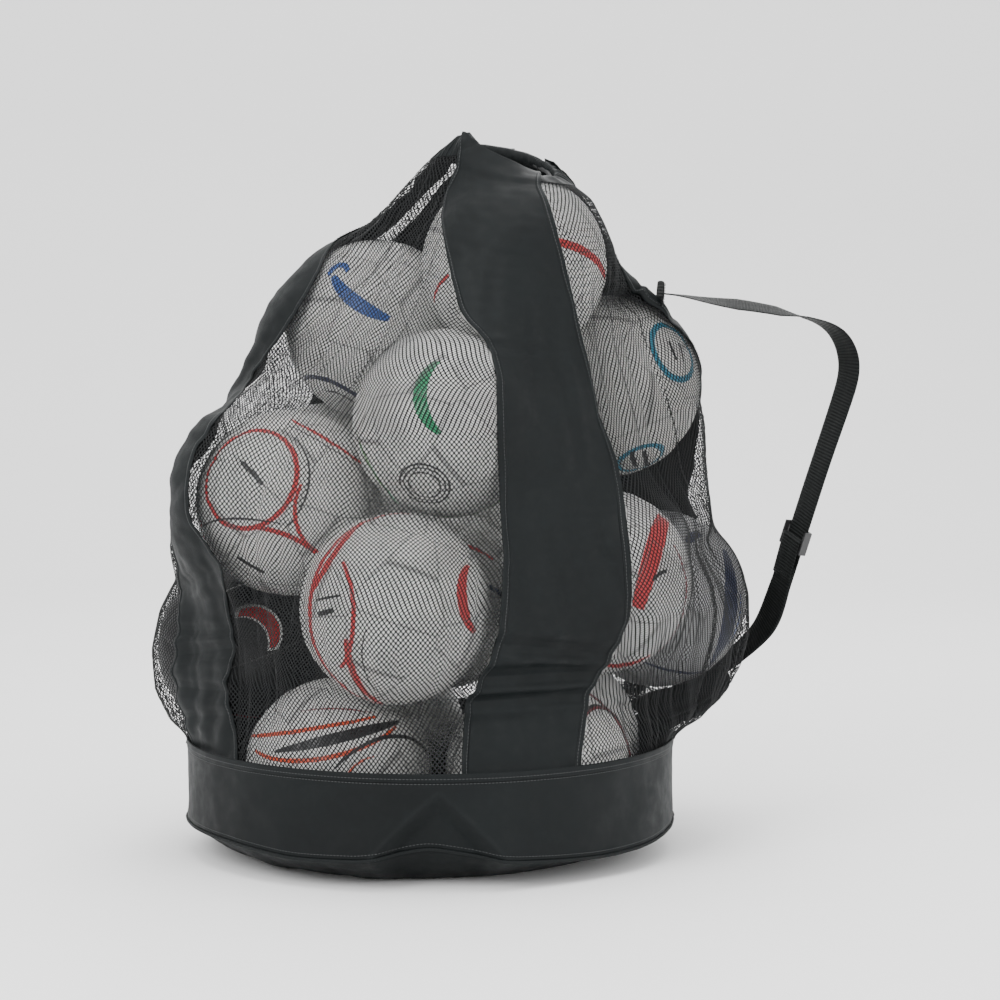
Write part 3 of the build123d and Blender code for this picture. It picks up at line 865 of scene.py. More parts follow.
half = SU // 2
front_low = edge_column(FRONT_LEFT, half + 40, half + 260)
front_high = edge_column(FRONT_RIGHT, half + 100, half + 330)
left_high = edge_column(LEFT_INNER, half - 60, half + 130)
silhouette = np.argmin(skin_x, axis=1)
turned = smooth_step(0.70, 0.80, skin_z[rows, silhouette])
left_high = left_high * (1 - turned) + (silhouette - 22) * turned
around_total = np.linalg.norm(np.roll(skin, -1, 1) - skin, axis=-1).sum(axis=1)
narrow = np.minimum(0.135, around_total * 0.10)
RIGHT_HEIGHTS = (0.13, 0.21, 0.32, 0.42, 0.55, 0.66)
RIGHT_HEADINGS = (25, 27, 42, 44, 34, 24)
right_mid = np.interp(skin_z[rows, 40], RIGHT_HEIGHTS, RIGHT_HEADINGS) / 360 * SU
right_low = step_round(right_mid, -narrow / 2)
right_high = step_round(right_mid, narrow / 2)
back_mid = np.full(SV, 122.0 / 360 * SU)
back_low = step_round(back_mid, -narrow / 2)
back_high = step_round(back_mid, narrow / 2)
left_high = np.maximum(left_high, back_high + 24)
left_low = np.maximum(step_round(left_high, -narrow), back_high + 7)

# ---------------------------------------------------------------- solid panels


def crease(x, z, start, end, depth, width):
    """A soft fold along a line in the front view: a valley with a low ridge each side."""
    start, end = np.array(start), np.array(end)
    way = end - start
    length = np.linalg.norm(way)
    way = way / length
    off_x, off_z = x - start[0], z - start[1]
    down = off_x * way[0] + off_z * way[1]
    side = off_x * -way[1] + off_z * way[0]
    fade = smooth_step(-0.02, 0.012, down) * smooth_step(length + 0.02, length - 0.012, down)
    off = np.abs(side) / width
    return depth * fade * (0.45 * np.exp(-((off - 1.6) ** 2)) - np.exp(-off))


FRONT_CREASES = (
    ((0.075, 0.247), (0.235, 0.232), 0.0075, 0.009),
    ((0.060, 0.205), (0.220, 0.214), 0.0100, 0.010),
    ((0.045, 0.176), (0.185, 0.186), 0.0070, 0.008),
    ((0.070, 0.603), (0.125, 0.598), 0.0035, 0.005),
    ((0.085, 0.330), (0.150, 0.318), 0.0016, 0.007),
    ((0.150, 0.345), (0.236, 0.352), 0.0016, 0.007),
    ((0.040, 0.838), (0.066, 0.850), 0.0020, 0.004),
    ((0.082, 0.500), (0.082, 0.330), 0.0012, 0.006),
)
LEFT_CREASES = (
    ((-0.318, 0.296), (-0.256, 0.340), 0.0060, 0.009),
    ((-0.330, 0.228), (-0.232, 0.241), 0.0065, 0.009),
    ((-0.322, 0.262), (-0.245, 0.262), 0.0035, 0.007),
    ((-0.318, 0.196), (-0.240, 0.188), 0.0050, 0.008),
    ((-0.300, 0.158), (-0.236, 0.160), 0.0035, 0.007),
    ((-0.310, 0.420), (-0.294, 0.446), 0.0030, 0.007),
    ((-0.278, 0.512), (-0.262, 0.480), 0.0030, 0.007),
    ((-0.214, 0.616), (-0.196, 0.566), 0.0030, 0.008),
    ((-0.185, 0.662), (-0.160, 0.640), 0.0022, 0.006),
    ((-0.200, 0.590), (-0.150, 0.668), 0.0022, 0.009),
)


PANEL_COLUMNS = 57
PANEL_LIFT, LEAST_LIFT = 0.0016, 0.0012


def solid_panel(name, low, high, creases, seed):
    """A strip of coated fabric from the band to the rim."""
    tall = 2 * SV - 1
    v = np.linspace(0, SV - 1, tall)
    low_v, high_v = np.interp(v, rows, low), np.interp(v, rows, high)
    share = np.linspace(0, 1, PANEL_COLUMNS)[None, :]
    u = low_v[:, None] + (high_v - low_v)[:, None] * share
    v_grid = np.broadcast_to(v[:, None], u.shape)
    cloth = sample(skin, v_grid, u)
    for _ in range(10):
        inside = (cloth[:, :-2] + cloth[:, 2:]) / 2
        cloth[:, 1:-1] += 0.5 * (inside - cloth[:, 1:-1])
        between = (cloth[:-2] + cloth[2:]) / 2
        cloth[1:-1] += 0.4 * (between - cloth[1:-1])
    cloth = keep_off(cloth, GAP)
    out = row_normals(cloth)
    x, z = seen(cloth)
    wide = np.linalg.norm(cloth[:, -1] - cloth[:, 0], axis=-1).mean()
    up = np.interp(v, rows, along(skin[:, int(np.median(low)) % SU]))[:, None] + 0 * share
    across = (share - 0.5) * wide + 0 * up
    over_hem = smooth_step(SV - 1 - 0.044 / ROW_STEP, SV - 1 - 0.031 / ROW_STEP, v_grid)
    lift = PANEL_LIFT + 0.0030 * over_hem
    lift = lift + 0.0006 * waves(across, up, seed, 10, 0.02, 0.09)
    lift = lift + 0.0004 * waves(across * 0.4, up, seed + 1, 8, 0.012, 0.03)
    for start, end, depth, width in creases:
        lift = lift + crease(x, z, start, end, depth, width)
    lift = np.maximum(lift, LEAST_LIFT) + 0.4 * np.minimum(lift - LEAST_LIFT, 0)
    outer = keep_off(cloth + out * lift[..., None], GAP + 0.0010)
    inner = outer - out * 0.0008
    coords = np.stack([across, up], -1)
    made = sheet_pair(name, outer, inner, coords=coords)
    paint_with(made, FABRIC)
    return made, outer, out


PANELS = {
    "front": (front_low, front_high, FRONT_CREASES, 11),
    "left": (left_low, left_high, LEFT_CREASES, 21),
    "right": (right_low, right_high, (), 31),
    "back": (back_low, back_high, (), 41),
}
panels = {}
for side, (low, high, creases, seed) in PANELS.items():
    panels[side] = solid_panel(f"cloth_panel_{side}", low, high, creases, seed)
    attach(panels[side][0], "bag")
    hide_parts(f"panel_{side}")

# ---------------------------------------------------------------- net

CELL_W, CELL_H = 0.0056, 0.0066
HOLE = 0.67


def net_panel(name, low, high):
    """Diamond net: every hole is open, and every strand stands up along its middle."""
    middle = (low + high) / 2
    up = along(sample(skin, rows.astype(float), middle))
    count = int(up[-1] / (CELL_H / 2))
    v_at = np.interp(np.arange(count + 1) * CELL_H / 2, up, rows)
    low_at, high_at = np.interp(v_at, rows, low), np.interp(v_at, rows, high)
    reach = 0
    lines = []
    for v, first, last in zip(v_at, low_at, high_at):
        cols = np.linspace(first - 3, last + 3, int((last - first + 6) * 2))
        far = along(sample(skin, np.full(len(cols), v), cols))
        far = far - np.interp((first + last) / 2, cols, far)
        edges = np.interp([first, last], cols, far)
        lines.append((cols, far, edges))
        reach = max(reach, int(far[-1] / (CELL_W / 2)) + 1, int(-far[0] / (CELL_W / 2)) + 1)
    steps = np.arange(-reach, reach + 1)
    u_grid = np.zeros((count + 1, len(steps)))
    inside = np.zeros(u_grid.shape, bool)
    for n, (cols, far, edges) in enumerate(lines):
        wanted = steps * CELL_W / 2
        u_grid[n] = np.interp(wanted, far, cols)
        inside[n] = (wanted > edges[0] - 0.0025) & (wanted < edges[1] + 0.0025)
    v_grid = np.broadcast_to(v_at[:, None], u_grid.shape)
    spots = sample(skin, v_grid, u_grid)
    out = unit(sample(skin_normals, v_grid, u_grid))
    n, m = np.meshgrid(np.arange(1, count), np.arange(1, len(steps) - 1), indexing="ij")
    even = (n + steps[m]) % 2 == 0
    whole = even & inside[n, m - 1] & inside[n, m + 1] & inside[n - 1, m] & inside[n + 1, m]
    n, m = n[whole], m[whole]
    knots = np.stack([(n, m - 1), (n - 1, m), (n, m + 1), (n + 1, m)], 0)
    knot_spots = spots[knots[:, 0], knots[:, 1]]
    holes = spots[n, m][None] + HOLE * (knot_spots - spots[n, m][None]) + out[n, m][None] * 0.0001
    ridge = spots + out * 0.0006
    size = spots.shape[1]
    knot_index = knots[:, 0] * size + knots[:, 1]
    base = ridge.shape[0] * size
    hole_index = base + np.arange(4)[:, None] * len(n) + np.arange(len(n))[None, :]
    quads = []
    for k in range(4):
        after = (k + 1) % 4
        quads.append(np.stack([knot_index[k], knot_index[after], hole_index[after], hole_index[k]], -1))
    quads = np.concatenate(quads)
    points = np.concatenate([ridge.reshape(-1, 3), holes.reshape(-1, 3)])
    used, quads = np.unique(quads, return_inverse=True)
    made = fast_mesh(name, points[used], quads.reshape(-1, 4))
    paint_with(made, YARN)
    return made


NETS = {
    "net_left_front": (left_high, front_low),
    "net_front_right": (front_high, right_low + SU),
    "net_right_back": (right_high, back_low),
    "net_back_left": (back_high, left_low),
}
nets = {}
for name, (low, high) in NETS.items():
    nets[name] = net_panel(name.replace("net_", "knit_net_"), low, high)
    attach(nets[name], "bag")
    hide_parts(name)

# ---------------------------------------------------------------- balls

GOLD = (1 + math.sqrt(5)) / 2


def ball_faces():
    """Outward ways to the faces of a 32-panel ball, scaled so the nearest face scores highest."""
    five = []
    six = []
    for a in (-1, 1):
        for b in (-1, 1):
            for turn in range(3):
                five.append(np.roll([0, a, b * GOLD], turn))
                six.append(np.roll([0, a / GOLD, b * GOLD], turn))
            for c in (-1, 1):
                six.append(np.array([a, b, c]))
    return np.concatenate([unit(five) / 0.9393, unit(six) / 0.9149])


FACES = ball_faces()


def seam_gap(ways):
    """How far a direction lies from the nearest panel seam, 0 on the seam."""
    score = np.sort(ways @ FACES.T, axis=-1)
    return score[..., -1] - score[..., -2]


def turn_matrix(a, b, c):
    """Turns about x, then y, then z, in degrees."""
    a, b, c = np.radians([a, b, c])
    about_x = np.array([[1, 0, 0], [0, math.cos(a), -math.sin(a)], [0, math.sin(a), math.cos(a)]])
    about_y = np.array([[math.cos(b), 0, math.sin(b)], [0, 1, 0], [-math.sin(b), 0, math.cos(b)]])
    about_z = np.array([[math.cos(c), -math.sin(c), 0], [math.sin(c), math.cos(c), 0], [0, 0, 1]])
    return about_z @ about_y @ about_x


def new_group(name, vectors, numbers, answer):
    """An empty node group with named sockets: its nodes, what it is given and its answer's socket."""
    group = bpy.data.node_groups.new(name, "ShaderNodeTree")
    for kind, sockets in (("NodeSocketVector", vectors), ("NodeSocketFloat", numbers)):
        for socket in sockets:
            group.interface.new_socket(socket, in_out="INPUT", socket_type=kind)
    group.interface.new_socket(answer, in_out="OUTPUT", socket_type="NodeSocketFloat")
    given = group.nodes.new("NodeGroupInput")
    result = group.nodes.new("NodeGroupOutput")
    return Nodes(group), given.outputs, result.inputs[answer]


def stroke_group():
    """Mask of a tapered arc on a ball, from its pole, radius, middle, reach and half width."""
    numbers = ("Radius", "Reach", "Half", "Taper")
    group, given, answer = new_group("stroke", ("Place", "Pole", "Middle"), numbers, "Mask")

    def angle_to(way):
        lean = group.math("MAXIMUM", group.dot(given["Place"], given[way]), -0.9999)
        return group.math("ARCCOSINE", group.math("MINIMUM", lean, 0.9999))

    off = group.math("ABSOLUTE", group.math("SUBTRACT", angle_to("Pole"), given["Radius"]))
    share = group.math("DIVIDE", angle_to("Middle"), given["Reach"])
    taper = group.math("MULTIPLY", given["Taper"], group.math("MULTIPLY", share, share))
    width = group.math("MULTIPLY", given["Half"], group.math("SUBTRACT", 1.0, taper))
    inside = group.math("DIVIDE", group.math("SUBTRACT", width, off), 0.006)
    mask = group.math("ADD", inside, 0.5, clamp=True)
    group.put(answer, group.math("MULTIPLY", mask, group.math("LESS_THAN", share, 1.0)))
    return group.tree


STROKE = stroke_group()


def seam_group():
    """How far a place on a ball lies from the nearest of its panel seams, 0 on the seam."""
    group, given, answer = new_group("seams", ("Place",), (), "Gap")
    best, second = 0.0, 0.0
    for way in FACES[FACES @ np.array([0.31, 0.57, 0.76]) > 0]:
        score = group.math("ABSOLUTE", group.dot(given["Place"], tuple(way)))
        second = group.math("MAXIMUM", second, group.math("MINIMUM", best, score))
        best = group.math("MAXIMUM", best, score)
    group.put(answer, group.math("SUBTRACT", best, second))
    return group.tree


SEAMS = seam_group()


def facing(right, up, front=True):
    """Direction on a ball, from how far right and up it appears in units of the radius."""
    far = math.hypot(right, up)
    if far > 0.985:
        right, up = right / far * 0.985, up / far * 0.985
    depth = math.sqrt(1 - right * right - up * up)
    return np.array([right, -depth, up]) if front else np.array([-right, depth, up])


def arc(colour, a, b, c, width, taper=0.5, front=True):
    """A stroke through three places; width in degrees."""
    ends = [facing(*spot, front) for spot in (a, b, c)]
    pole = unit(np.cross(ends[1] - ends[0], ends[2] - ends[1]))
    reach = max(math.acos(ends[1] @ ends[0]), math.acos(ends[1] @ ends[2]))
    radius = math.acos(np.clip(pole @ ends[1], -1, 1))
    return colour, pole, ends[1], radius, reach, math.radians(width / 2), taper


def ring(colour, spot, radius, width, front=True):
    """A closed ring; radius and width in degrees."""
    way = facing(*spot, front)
    return colour, way, way, math.radians(radius), 10.0, math.radians(width / 2), 0.0


RED = rgb(0.50, 0.020, 0.024)
DARK_RED = rgb(0.20, 0.012, 0.020)
ORANGE = rgb(0.62, 0.060, 0.012)
BLUE = rgb(0.020, 0.085, 0.33)
NAVY = rgb(0.012, 0.018, 0.060)
TEAL = rgb(0.012, 0.17, 0.26)
GREEN = rgb(0.008, 0.27, 0.105)
LEAF = rgb(0.045, 0.17, 0.030)
INK = rgb(0.010, 0.010, 0.012)
WHITE = rgb(0.76, 0.76, 0.745)

# printed marks by ball: plain strokes and rings, placed by how far right and up they appear
MARKS = {
    "ball_01": (
        arc(INK, (-0.62, 0.33), (0.08, 0.51), (0.60, 0.60), 7.5, 0.8),
        arc(ORANGE, (-0.95, 0.44), (-0.39, 0.55), (0.42, 0.68), 3.0, 0.4),
        arc(ORANGE, (-0.84, 0.30), (-0.10, 0.30), (0.64, 0.57), 3.0, 0.4),
        arc(INK, (0.02, 0.20), (0.62, 0.48), (0.97, 0.20), 2.6, 0.5),
        arc(DARK_RED, (-0.35, 0.74), (0.02, 0.77), (0.30, 0.74), 1.2, 0.6),
        arc(INK, (-0.96, 0.20), (-0.70, 0.02), (-0.35, -0.10), 1.6, 0.6),
        arc(ORANGE, (0.10, 0.02), (0.20, 0.20), (0.42, 0.30), 1.5, 0.7),
    ),
    "ball_02": (
        arc(INK, (0.50, 0.86), (0.86, 0.50), (0.97, 0.02), 7.0, 0.3),
        arc(DARK_RED, (0.52, 0.84), (0.86, 0.50), (0.97, 0.05), 3.2, 0.3),
        arc(INK, (0.42, 0.60), (0.62, 0.72), (0.84, 0.74), 4.0, 0.4),
        arc(DARK_RED, (0.46, 0.62), (0.62, 0.715), (0.80, 0.74), 1.8, 0.4),
        arc(INK, (-0.62, 0.55), (-0.30, 0.76), (0.10, 0.82), 2.2, 0.5),
    ),
    "ball_05": (
        arc(RED, (-0.36, 0.91), (-0.86, 0.18), (-0.13, -0.97), 4.4, 0.45),
        arc(RED, (-0.52, 0.56), (-0.40, 0.02), (-0.46, -0.36), 3.0, 0.25),
        arc(RED, (-0.46, -0.40), (-0.37, -0.68), (-0.12, -0.96), 5.5, 0.5),
        arc(RED, (-0.70, 0.50), (-0.62, 0.62), (-0.34, 0.92), 6.0, 0.6),
        arc(INK, (-0.93, -0.02), (-0.80, -0.46), (-0.38, -0.90), 1.0, 0.3),
        arc(INK, (-0.30, -0.20), (-0.30, -0.52), (-0.10, -0.84), 0.9, 0.3),
        arc(RED, (0.76, 0.50), (0.70, 0.18), (0.78, -0.10), 8.5, 0.75),
        arc(INK, (-0.78, 0.02), (-0.70, 0.05), (-0.62, 0.08), 3.2, 0.1),
        arc(INK, (-0.80, 0.16), (-0.68, 0.20), (-0.56, 0.23), 1.6, 0.1),
    ),
    "ball_06": (
        arc(WHITE, (-0.02, 0.50), (0.27, 0.42), (0.33, 0.08), 13.0, 0.55),
        arc(RED, (0.00, 0.49), (0.27, 0.415), (0.33, 0.11), 9.6, 0.6),
        arc(WHITE, (-0.30, 0.62), (0.10, 0.78), (0.60, 0.62), 1.0, 0.4),
        arc(DARK_RED, (-0.70, -0.30), (-0.20, -0.62), (0.40, -0.66), 2.0, 0.5),
    ),
    "ball_07": (
        arc(RED, (0.72, 0.73), (0.56, 0.40), (0.41, -0.10), 13.0, 0.35),
        arc(DARK_RED, (0.84, 0.33), (0.90, -0.30), (0.43, -0.88), 2.4, 0.3),
        arc(RED, (0.08, -0.84), (0.30, -0.86), (0.54, -0.76), 7.0, 0.5),
        arc(INK, (0.55, 0.10), (0.62, 0.16), (0.68, 0.18), 2.4, 0.1),
    ),
    "ball_08": (
        arc(NAVY, (0.78, 0.44), (0.80, -0.06), (0.60, -0.70), 17.0, 0.7),
        arc(BLUE, (0.93, 0.10), (0.90, -0.20), (0.78, -0.48), 1.8, 0.4),
        arc(NAVY, (0.30, 0.70), (0.37, 0.76), (0.46, 0.78), 7.0, 0.5),
        arc(NAVY, (-0.10, -0.66), (0.20, -0.76), (0.50, -0.80), 3.0, 0.6),
    ),
    "ball_10": (
        ring(RED, (-0.42, 0.37), 33.0, 3.2),
        arc(INK, (0.10, 0.76), (0.27, 0.30), (0.06, -0.14), 1.3, 0.4),
        arc(RED, (0.10, 0.90), (0.47, 0.70), (0.84, 0.42), 3.0, 0.5),
        arc(INK, (0.06, 0.86), (0.44, 0.66), (0.82, 0.37), 0.9, 0.4),
        arc(RED, (-0.30, -0.18), (0.02, -0.25), (0.33, -0.47), 3.2, 0.3),
        arc(RED, (0.19, 0.28), (0.14, -0.14), (0.31, -0.42), 2.6, 0.3),
        arc(RED, (-0.90, -0.34), (-0.86, -0.46), (-0.66, -0.74), 3.6, 0.3),
        arc(INK, (-0.92, -0.26), (-0.60, -0.10), (-0.24, -0.10), 1.4, 0.5),
        arc(INK, (-0.46, 0.50), (-0.34, 0.40), (-0.22, 0.28), 3.0, 0.1),
        arc(INK, (-0.50, -0.52), (-0.36, -0.60), (-0.22, -0.68), 3.0, 0.1),
    ),
    "ball_13": (
        arc(GREEN, (-0.13, 0.66), (-0.27, 0.34), (-0.06, -0.04), 9.0, 0.7),
        ring(INK, (-0.23, -0.60), 15.5, 1.3),
        ring(INK, (-0.23, -0.60), 13.0, 1.0),
        ring(INK, (-0.23, -0.60), 10.0, 1.0),
        arc(GREEN, (-0.92, -0.20), (-0.72, -0.54), (-0.50, -0.84), 2.6, 0.4),
        arc(LEAF, (-0.96, -0.06), (-0.80, -0.42), (-0.62, -0.70), 3.0, 0.7),
        arc(LEAF, (-0.06, -0.97), (0.32, -0.93), (0.64, -0.74), 5.0, 0.4),
        arc(INK, (-0.10, -0.93), (0.26, -0.90), (0.60, -0.70), 0.9, 0.3),
    ),
    "ball_14": (
        ring(TEAL, (0.70, 0.42), 19.0, 4.0),
        ring(TEAL, (0.33, -0.80), 15.0, 3.6),
        arc(INK, (0.62, 0.52), (0.66, 0.42), (0.70, 0.32), 2.4, 0.1),
        arc(INK, (0.74, 0.50), (0.77, 0.40), (0.79, 0.30), 2.4, 0.1),
        arc(INK, (0.22, -0.72), (0.24, -0.80), (0.28, -0.88), 3.0, 0.1),
        arc(INK, (0.36, -0.72), (0.38, -0.80), (0.40, -0.88), 3.0, 0.1),
    ),
    "ball_15": (
        arc(BLUE, (-0.44, 0.60), (-0.20, 0.34), (0.14, 0.16), 9.5, 0.6),
        arc(BLUE, (-0.47, 0.66), (-0.38, 0.72), (-0.28, 0.66), 5.0, 0.5),
        arc(NAVY, (-0.78, -0.58), (-0.44, -0.56), (-0.12, -0.76), 3.8, 0.4),
        arc(INK, (-0.52, -0.66), (-0.36, -0.70), (-0.20, -0.80), 1.6, 0.4),
    ),
    "ball_16": (
        arc(RED, (0.40, 0.26), (0.76, 0.14), (0.97, -0.14), 5.6, 0.15),
        arc(RED, (-0.70, -0.10), (-0.82, -0.24), (-0.86, -0.40), 2.0, 0.2),
    ),
    "ball_03": (
        arc(TEAL, (-0.60, 0.40), (0.0, 0.62), (0.60, 0.40), 4.0, 0.4, False),
        arc(INK, (-0.50, 0.25), (0.0, 0.46), (0.50, 0.25), 1.4, 0.4, False),
    ),
    "ball_04": (
        ring(RED, (0.20, 0.20), 30.0, 3.0, False),
        arc(INK, (-0.40, -0.40), (0.10, -0.56), (0.60, -0.40), 1.6, 0.4, False),
    ),
    "ball_11": (
        arc(BLUE, (-0.50, 0.50), (0.10, 0.22), (0.62, 0.36), 6.0, 0.6, False),
        arc(NAVY, (-0.60, -0.30), (0.0, -0.52), (0.60, -0.40), 2.2, 0.4, False),
    ),
    "ball_12": (
        arc(GREEN, (-0.20, 0.66), (-0.34, 0.10), (-0.10, -0.40), 8.0, 0.7, False),
        ring(INK, (0.40, 0.10), 14.0, 1.2, False),
    ),
    "ball_09": (
        arc(RED, (-0.40, 0.60), (0.10, 0.70), (0.60, 0.50), 3.0, 0.4),
        arc(NAVY, (0.30, 0.30), (0.60, 0.20), (0.84, -0.10), 3.0, 0.4),
    ),
}
# cover colours other than plain white; ball_08's grey is painted shade: a white ball greyed to stand in for
# the shade it sits in behind the net and the right panel
COVER_TONES_AND_SHADE = {
    "ball_08": rgb(0.34, 0.34, 0.345),
    "ball_06": rgb(0.010, 0.010, 0.011),
    "ball_14": rgb(0.62, 0.62, 0.60),
    "ball_07": rgb(0.66, 0.66, 0.65),
}


def ball_material(name, centre, marks, angles):
    """Coated ball skin: seam lines, pebble grain, scuffs and printed marks."""
    s = Shader(f"{name}_cover")
    place = s.place()
    away = s.add("ShaderNodeVectorMath", {0: place, 1: tuple(centre)}, operation="SUBTRACT")
    way = s.add("ShaderNodeVectorMath", {0: away}, operation="NORMALIZE")
    # for ball_08 this base colour is painted shade, not a grey cover
    base = COVER_TONES_AND_SHADE.get(name, WHITE)
    scuffs = s.noise(28.0, 5.0, place)
    deeper = tuple(0.80 * part for part in base[:3]) + (1.0,)
    tone = s.mix(s.spread(scuffs, 0.42, 0.66), base, deeper)
    specks = s.noise(260.0, 2.0, place)
    tone = s.mix(s.spread(specks, 0.66, 0.74, 0.0, 0.28), tone, rgb(0.16, 0.15, 0.14))
    for colour, pole, middle, radius, reach, half_width, taper in marks:
        sockets = {"Place": way, "Pole": tuple(pole), "Middle": tuple(middle), "Radius": radius}
        sockets |= {"Reach": reach, "Half": half_width, "Taper": taper}
        tone = s.mix(s.add("ShaderNodeGroup", sockets, node_tree=STROKE), tone, colour)
    rotation = {"Vector": way, "Rotation": tuple(angles)}
    turned = s.add("ShaderNodeVectorRotate", rotation, rotation_type="EULER_XYZ", invert=True)
    seam = s.add("ShaderNodeGroup", {"Place": turned}, node_tree=SEAMS)
    line = s.spread(seam, 0.0025, 0.0095, 1.0, 0.0)
    valley = s.spread(seam, 0.0, 0.024, 1.0, 0.0)
    tone = s.mix(s.math("MULTIPLY", line, 0.62), tone, rgb(0.10, 0.10, 0.10))
    pebble = s.add("ShaderNodeTexVoronoi", {"Vector": place, "Scale": 620.0})
    s.set(Base_Color=tone, Roughness=s.spread(scuffs, 0.3, 0.7, 0.30, 0.46))
    s.set(Coat_Weight=0.12, Coat_Roughness=0.25)
    grain = s.bump(pebble, 0.22, 0.0003)
    s.set(Normal=s.bump(valley, -0.6, 0.0010, grain))
    return s.material


def unit_ball():
    work = bmesh.new()
    bmesh.ops.create_icosphere(work, subdivisions=6, radius=1.0)
    mesh = bpy.data.meshes.new("unit_ball")
    work.to_mesh(mesh)
    work.free()
    ways = np.zeros(len(mesh.vertices) * 3)
    mesh.vertices.foreach_get("co", ways)
    return mesh, unit(ways.reshape(-1, 3))


ball_mesh, ball_ways = unit_ball()
rng = np.random.default_rng(7)
for name in BALL_NAMES:
    angles = rng.uniform(0, 360, 3)
    frame_turn = turn_matrix(*angles)
    gap = seam_gap(ball_ways @ frame_turn)
    groove = np.exp(-((gap / 0.016) ** 2))
    radius = BALL_R - 0.0009 * groove - 0.0006 * smooth_step(0.10, 0.0, gap)
    points = BALL_AT[name] + ball_ways * radius[:, None]
    mesh = ball_mesh.copy()
    mesh.name = f"cover_{name}"
    mesh.vertices.foreach_set("co", points.astype(np.float32).ravel())
    mesh.polygons.foreach_set("use_smooth", np.ones(len(mesh.polygons), bool))
    mesh.update()
    cover = placed(f"cover_{name}", mesh)
    paint_with(cover, ball_material(name, BALL_AT[name], MARKS.get(name, ()), np.radians(angles)))
    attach(cover, "bag")
    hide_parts(name)

# ---------------------------------------------------------------- base band and floor

# the band's lower seam: its height at each turn in degrees, with the front at -90
LOWER_SEAM = (
    (-180, 0.0412), (-143, 0.0390), (-120, 0.0330), (-104, 0.0355), (-96, 0.0440),
    (-89, 0.0500), (-82, 0.0440), (-70, 0.0330), (-46, 0.0265), (-31, 0.0280),
    (0, 0.0370), (45, 0.0400), (90, 0.0380), (135, 0.0420), (180, 0.0412),
)
RN = 720
round_turns = np.arange(RN) / RN * 2 * math.pi
signed = np.degrees((round_turns + math.pi) % (2 * math.pi) - math.pi)
seam_z = np.interp(signed, *zip(*LOWER_SEAM))
seam_z = np.convolve(np.concatenate([seam_z[-6:], seam_z, seam_z[:6]]), np.ones(13) / 13, "valid")
round_at = round_turns * BAND_R


def band_radius(height):
    """Radius of the band at a share of its height, 0 at the lower seam."""
    middle = (signed + 87) * math.pi / 180 * BAND_R
    tent = smooth_step(0.0, 0.030, (0.72 - height) * 0.105 - np.abs(middle))
    sides = np.exp(-(((np.abs(middle) - 0.075) / 0.028) ** 2)) * (1 - height) ** 1.2
    slack = smooth_step(0, 0.25, 1 - height)
    soft = waves(round_at, np.full(RN, height * 0.09), 51, 16, 0.05, 0.26)
    small = waves(round_at * 0.5, np.full(RN, height * 0.09), 52, 14, 0.018, 0.05)
    ridge = np.exp(-(((0.72 - height) * 0.105 - np.abs(middle)) / 0.006) ** 2)
    folded = BAND_R - 0.0130 * tent * (1 - height) + 0.0042 * sides + 0.0022 * ridge
    return folded + slack * (0.0016 * soft + 0.0005 * small)


def ring_points(radius, z):
    return np.stack([radius * np.cos(round_turns), radius * np.sin(round_turns), z], -1)


band_rows = np.linspace(0, 1, 34)
band_outer = np.stack([ring_points(band_radius(h), seam_z + (BAND_TOP - seam_z) * h) for h in band_rows])
band_out = row_normals(band_outer, closed=True)
band_coords = paired(round_at[None, :], band_outer[..., 2])
band = sheet_pair("cloth_band", band_outer, band_outer - band_out * 0.002, closed=True, coords=band_coords)
paint_with(band, FABRIC)
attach(band, "bag")
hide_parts("base_band")

FLOOR_MIDDLE, FLAT_R, FLOOR_Z = 0.012, 0.205, 0.0002
floor_rows = np.linspace(0, 1, 40)
floor_grid = []
for share in floor_rows:
    reach = FLOOR_MIDDLE + 0.9999 * share * (band_radius(0.0) - FLOOR_MIDDLE)
    x, y = reach * np.cos(round_turns), reach * np.sin(round_turns)
    near_edge = np.clip((reach - FLAT_R) / (band_radius(0.0) - FLAT_R), 0, 1)
    lifted = 0.017 * smooth_step(0.0, 0.28, x * 0.9 - y * 0.5 - 0.05) * smooth_step(0.19, 0.26, reach)
    folds = waves(round_at, np.full(RN, share * 0.1), 61, 16, 0.03, 0.16) * near_edge * (1 - near_edge) * 4
    z = FLOOR_Z + lifted * (1 - near_edge) + (seam_z - FLOOR_Z) * near_edge**1.75
    z = z + 0.0022 * folds * (near_edge > 0)
    floor_grid.append(np.stack([x, y, np.maximum(z, 0.0)], -1))
floor_grid = np.stack(floor_grid)
floor_coords = np.stack([floor_grid[..., 0], floor_grid[..., 1]], -1)
floor_up = row_normals(floor_grid, closed=True)
floor_up = floor_up * np.sign(floor_up[20, 0, 2])
base = sheet_pair("cloth_floor", floor_grid + floor_up * 0.0018, floor_grid, closed=True, coords=floor_coords)
paint_with(base, FABRIC)
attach(base, "bag")
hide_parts("base_floor")


def tube(name, line, radius, sides=10, closed=False, ends=True):
    """Round piping or cord along a line of points."""
    line = np.asarray(line, float)
    tangent = np.roll(line, -1, 0) - np.roll(line, 1, 0) if closed else np.gradient(line, axis=0)
    tangent = unit(tangent)
    side = np.cross(tangent, np.array([0.03, 0.05, 1.0]))
    upright = np.linalg.norm(side, axis=1, keepdims=True) < 0.15
    side = unit(np.where(upright, np.cross(tangent, [1.0, 0, 0]), side))
    rise = np.cross(side, tangent)
    turn = np.arange(sides) / sides * 2 * math.pi
    across = np.cos(turn)[None, :, None] * side[:, None]
    upward = np.sin(turn)[None, :, None] * rise[:, None]
    grid = line[:, None] + radius * (across + upward)
    far = along(line)
    if closed:
        grid = np.concatenate([grid, grid[:1]])
        far = np.concatenate([far, [far[-1] + np.linalg.norm(line[-1] - line[0])]])
    coords = paired(turn[None, :] * radius, far[:, None])
    return fast_mesh(name, grid, grid_quads(grid.shape[0], sides, True), coords)


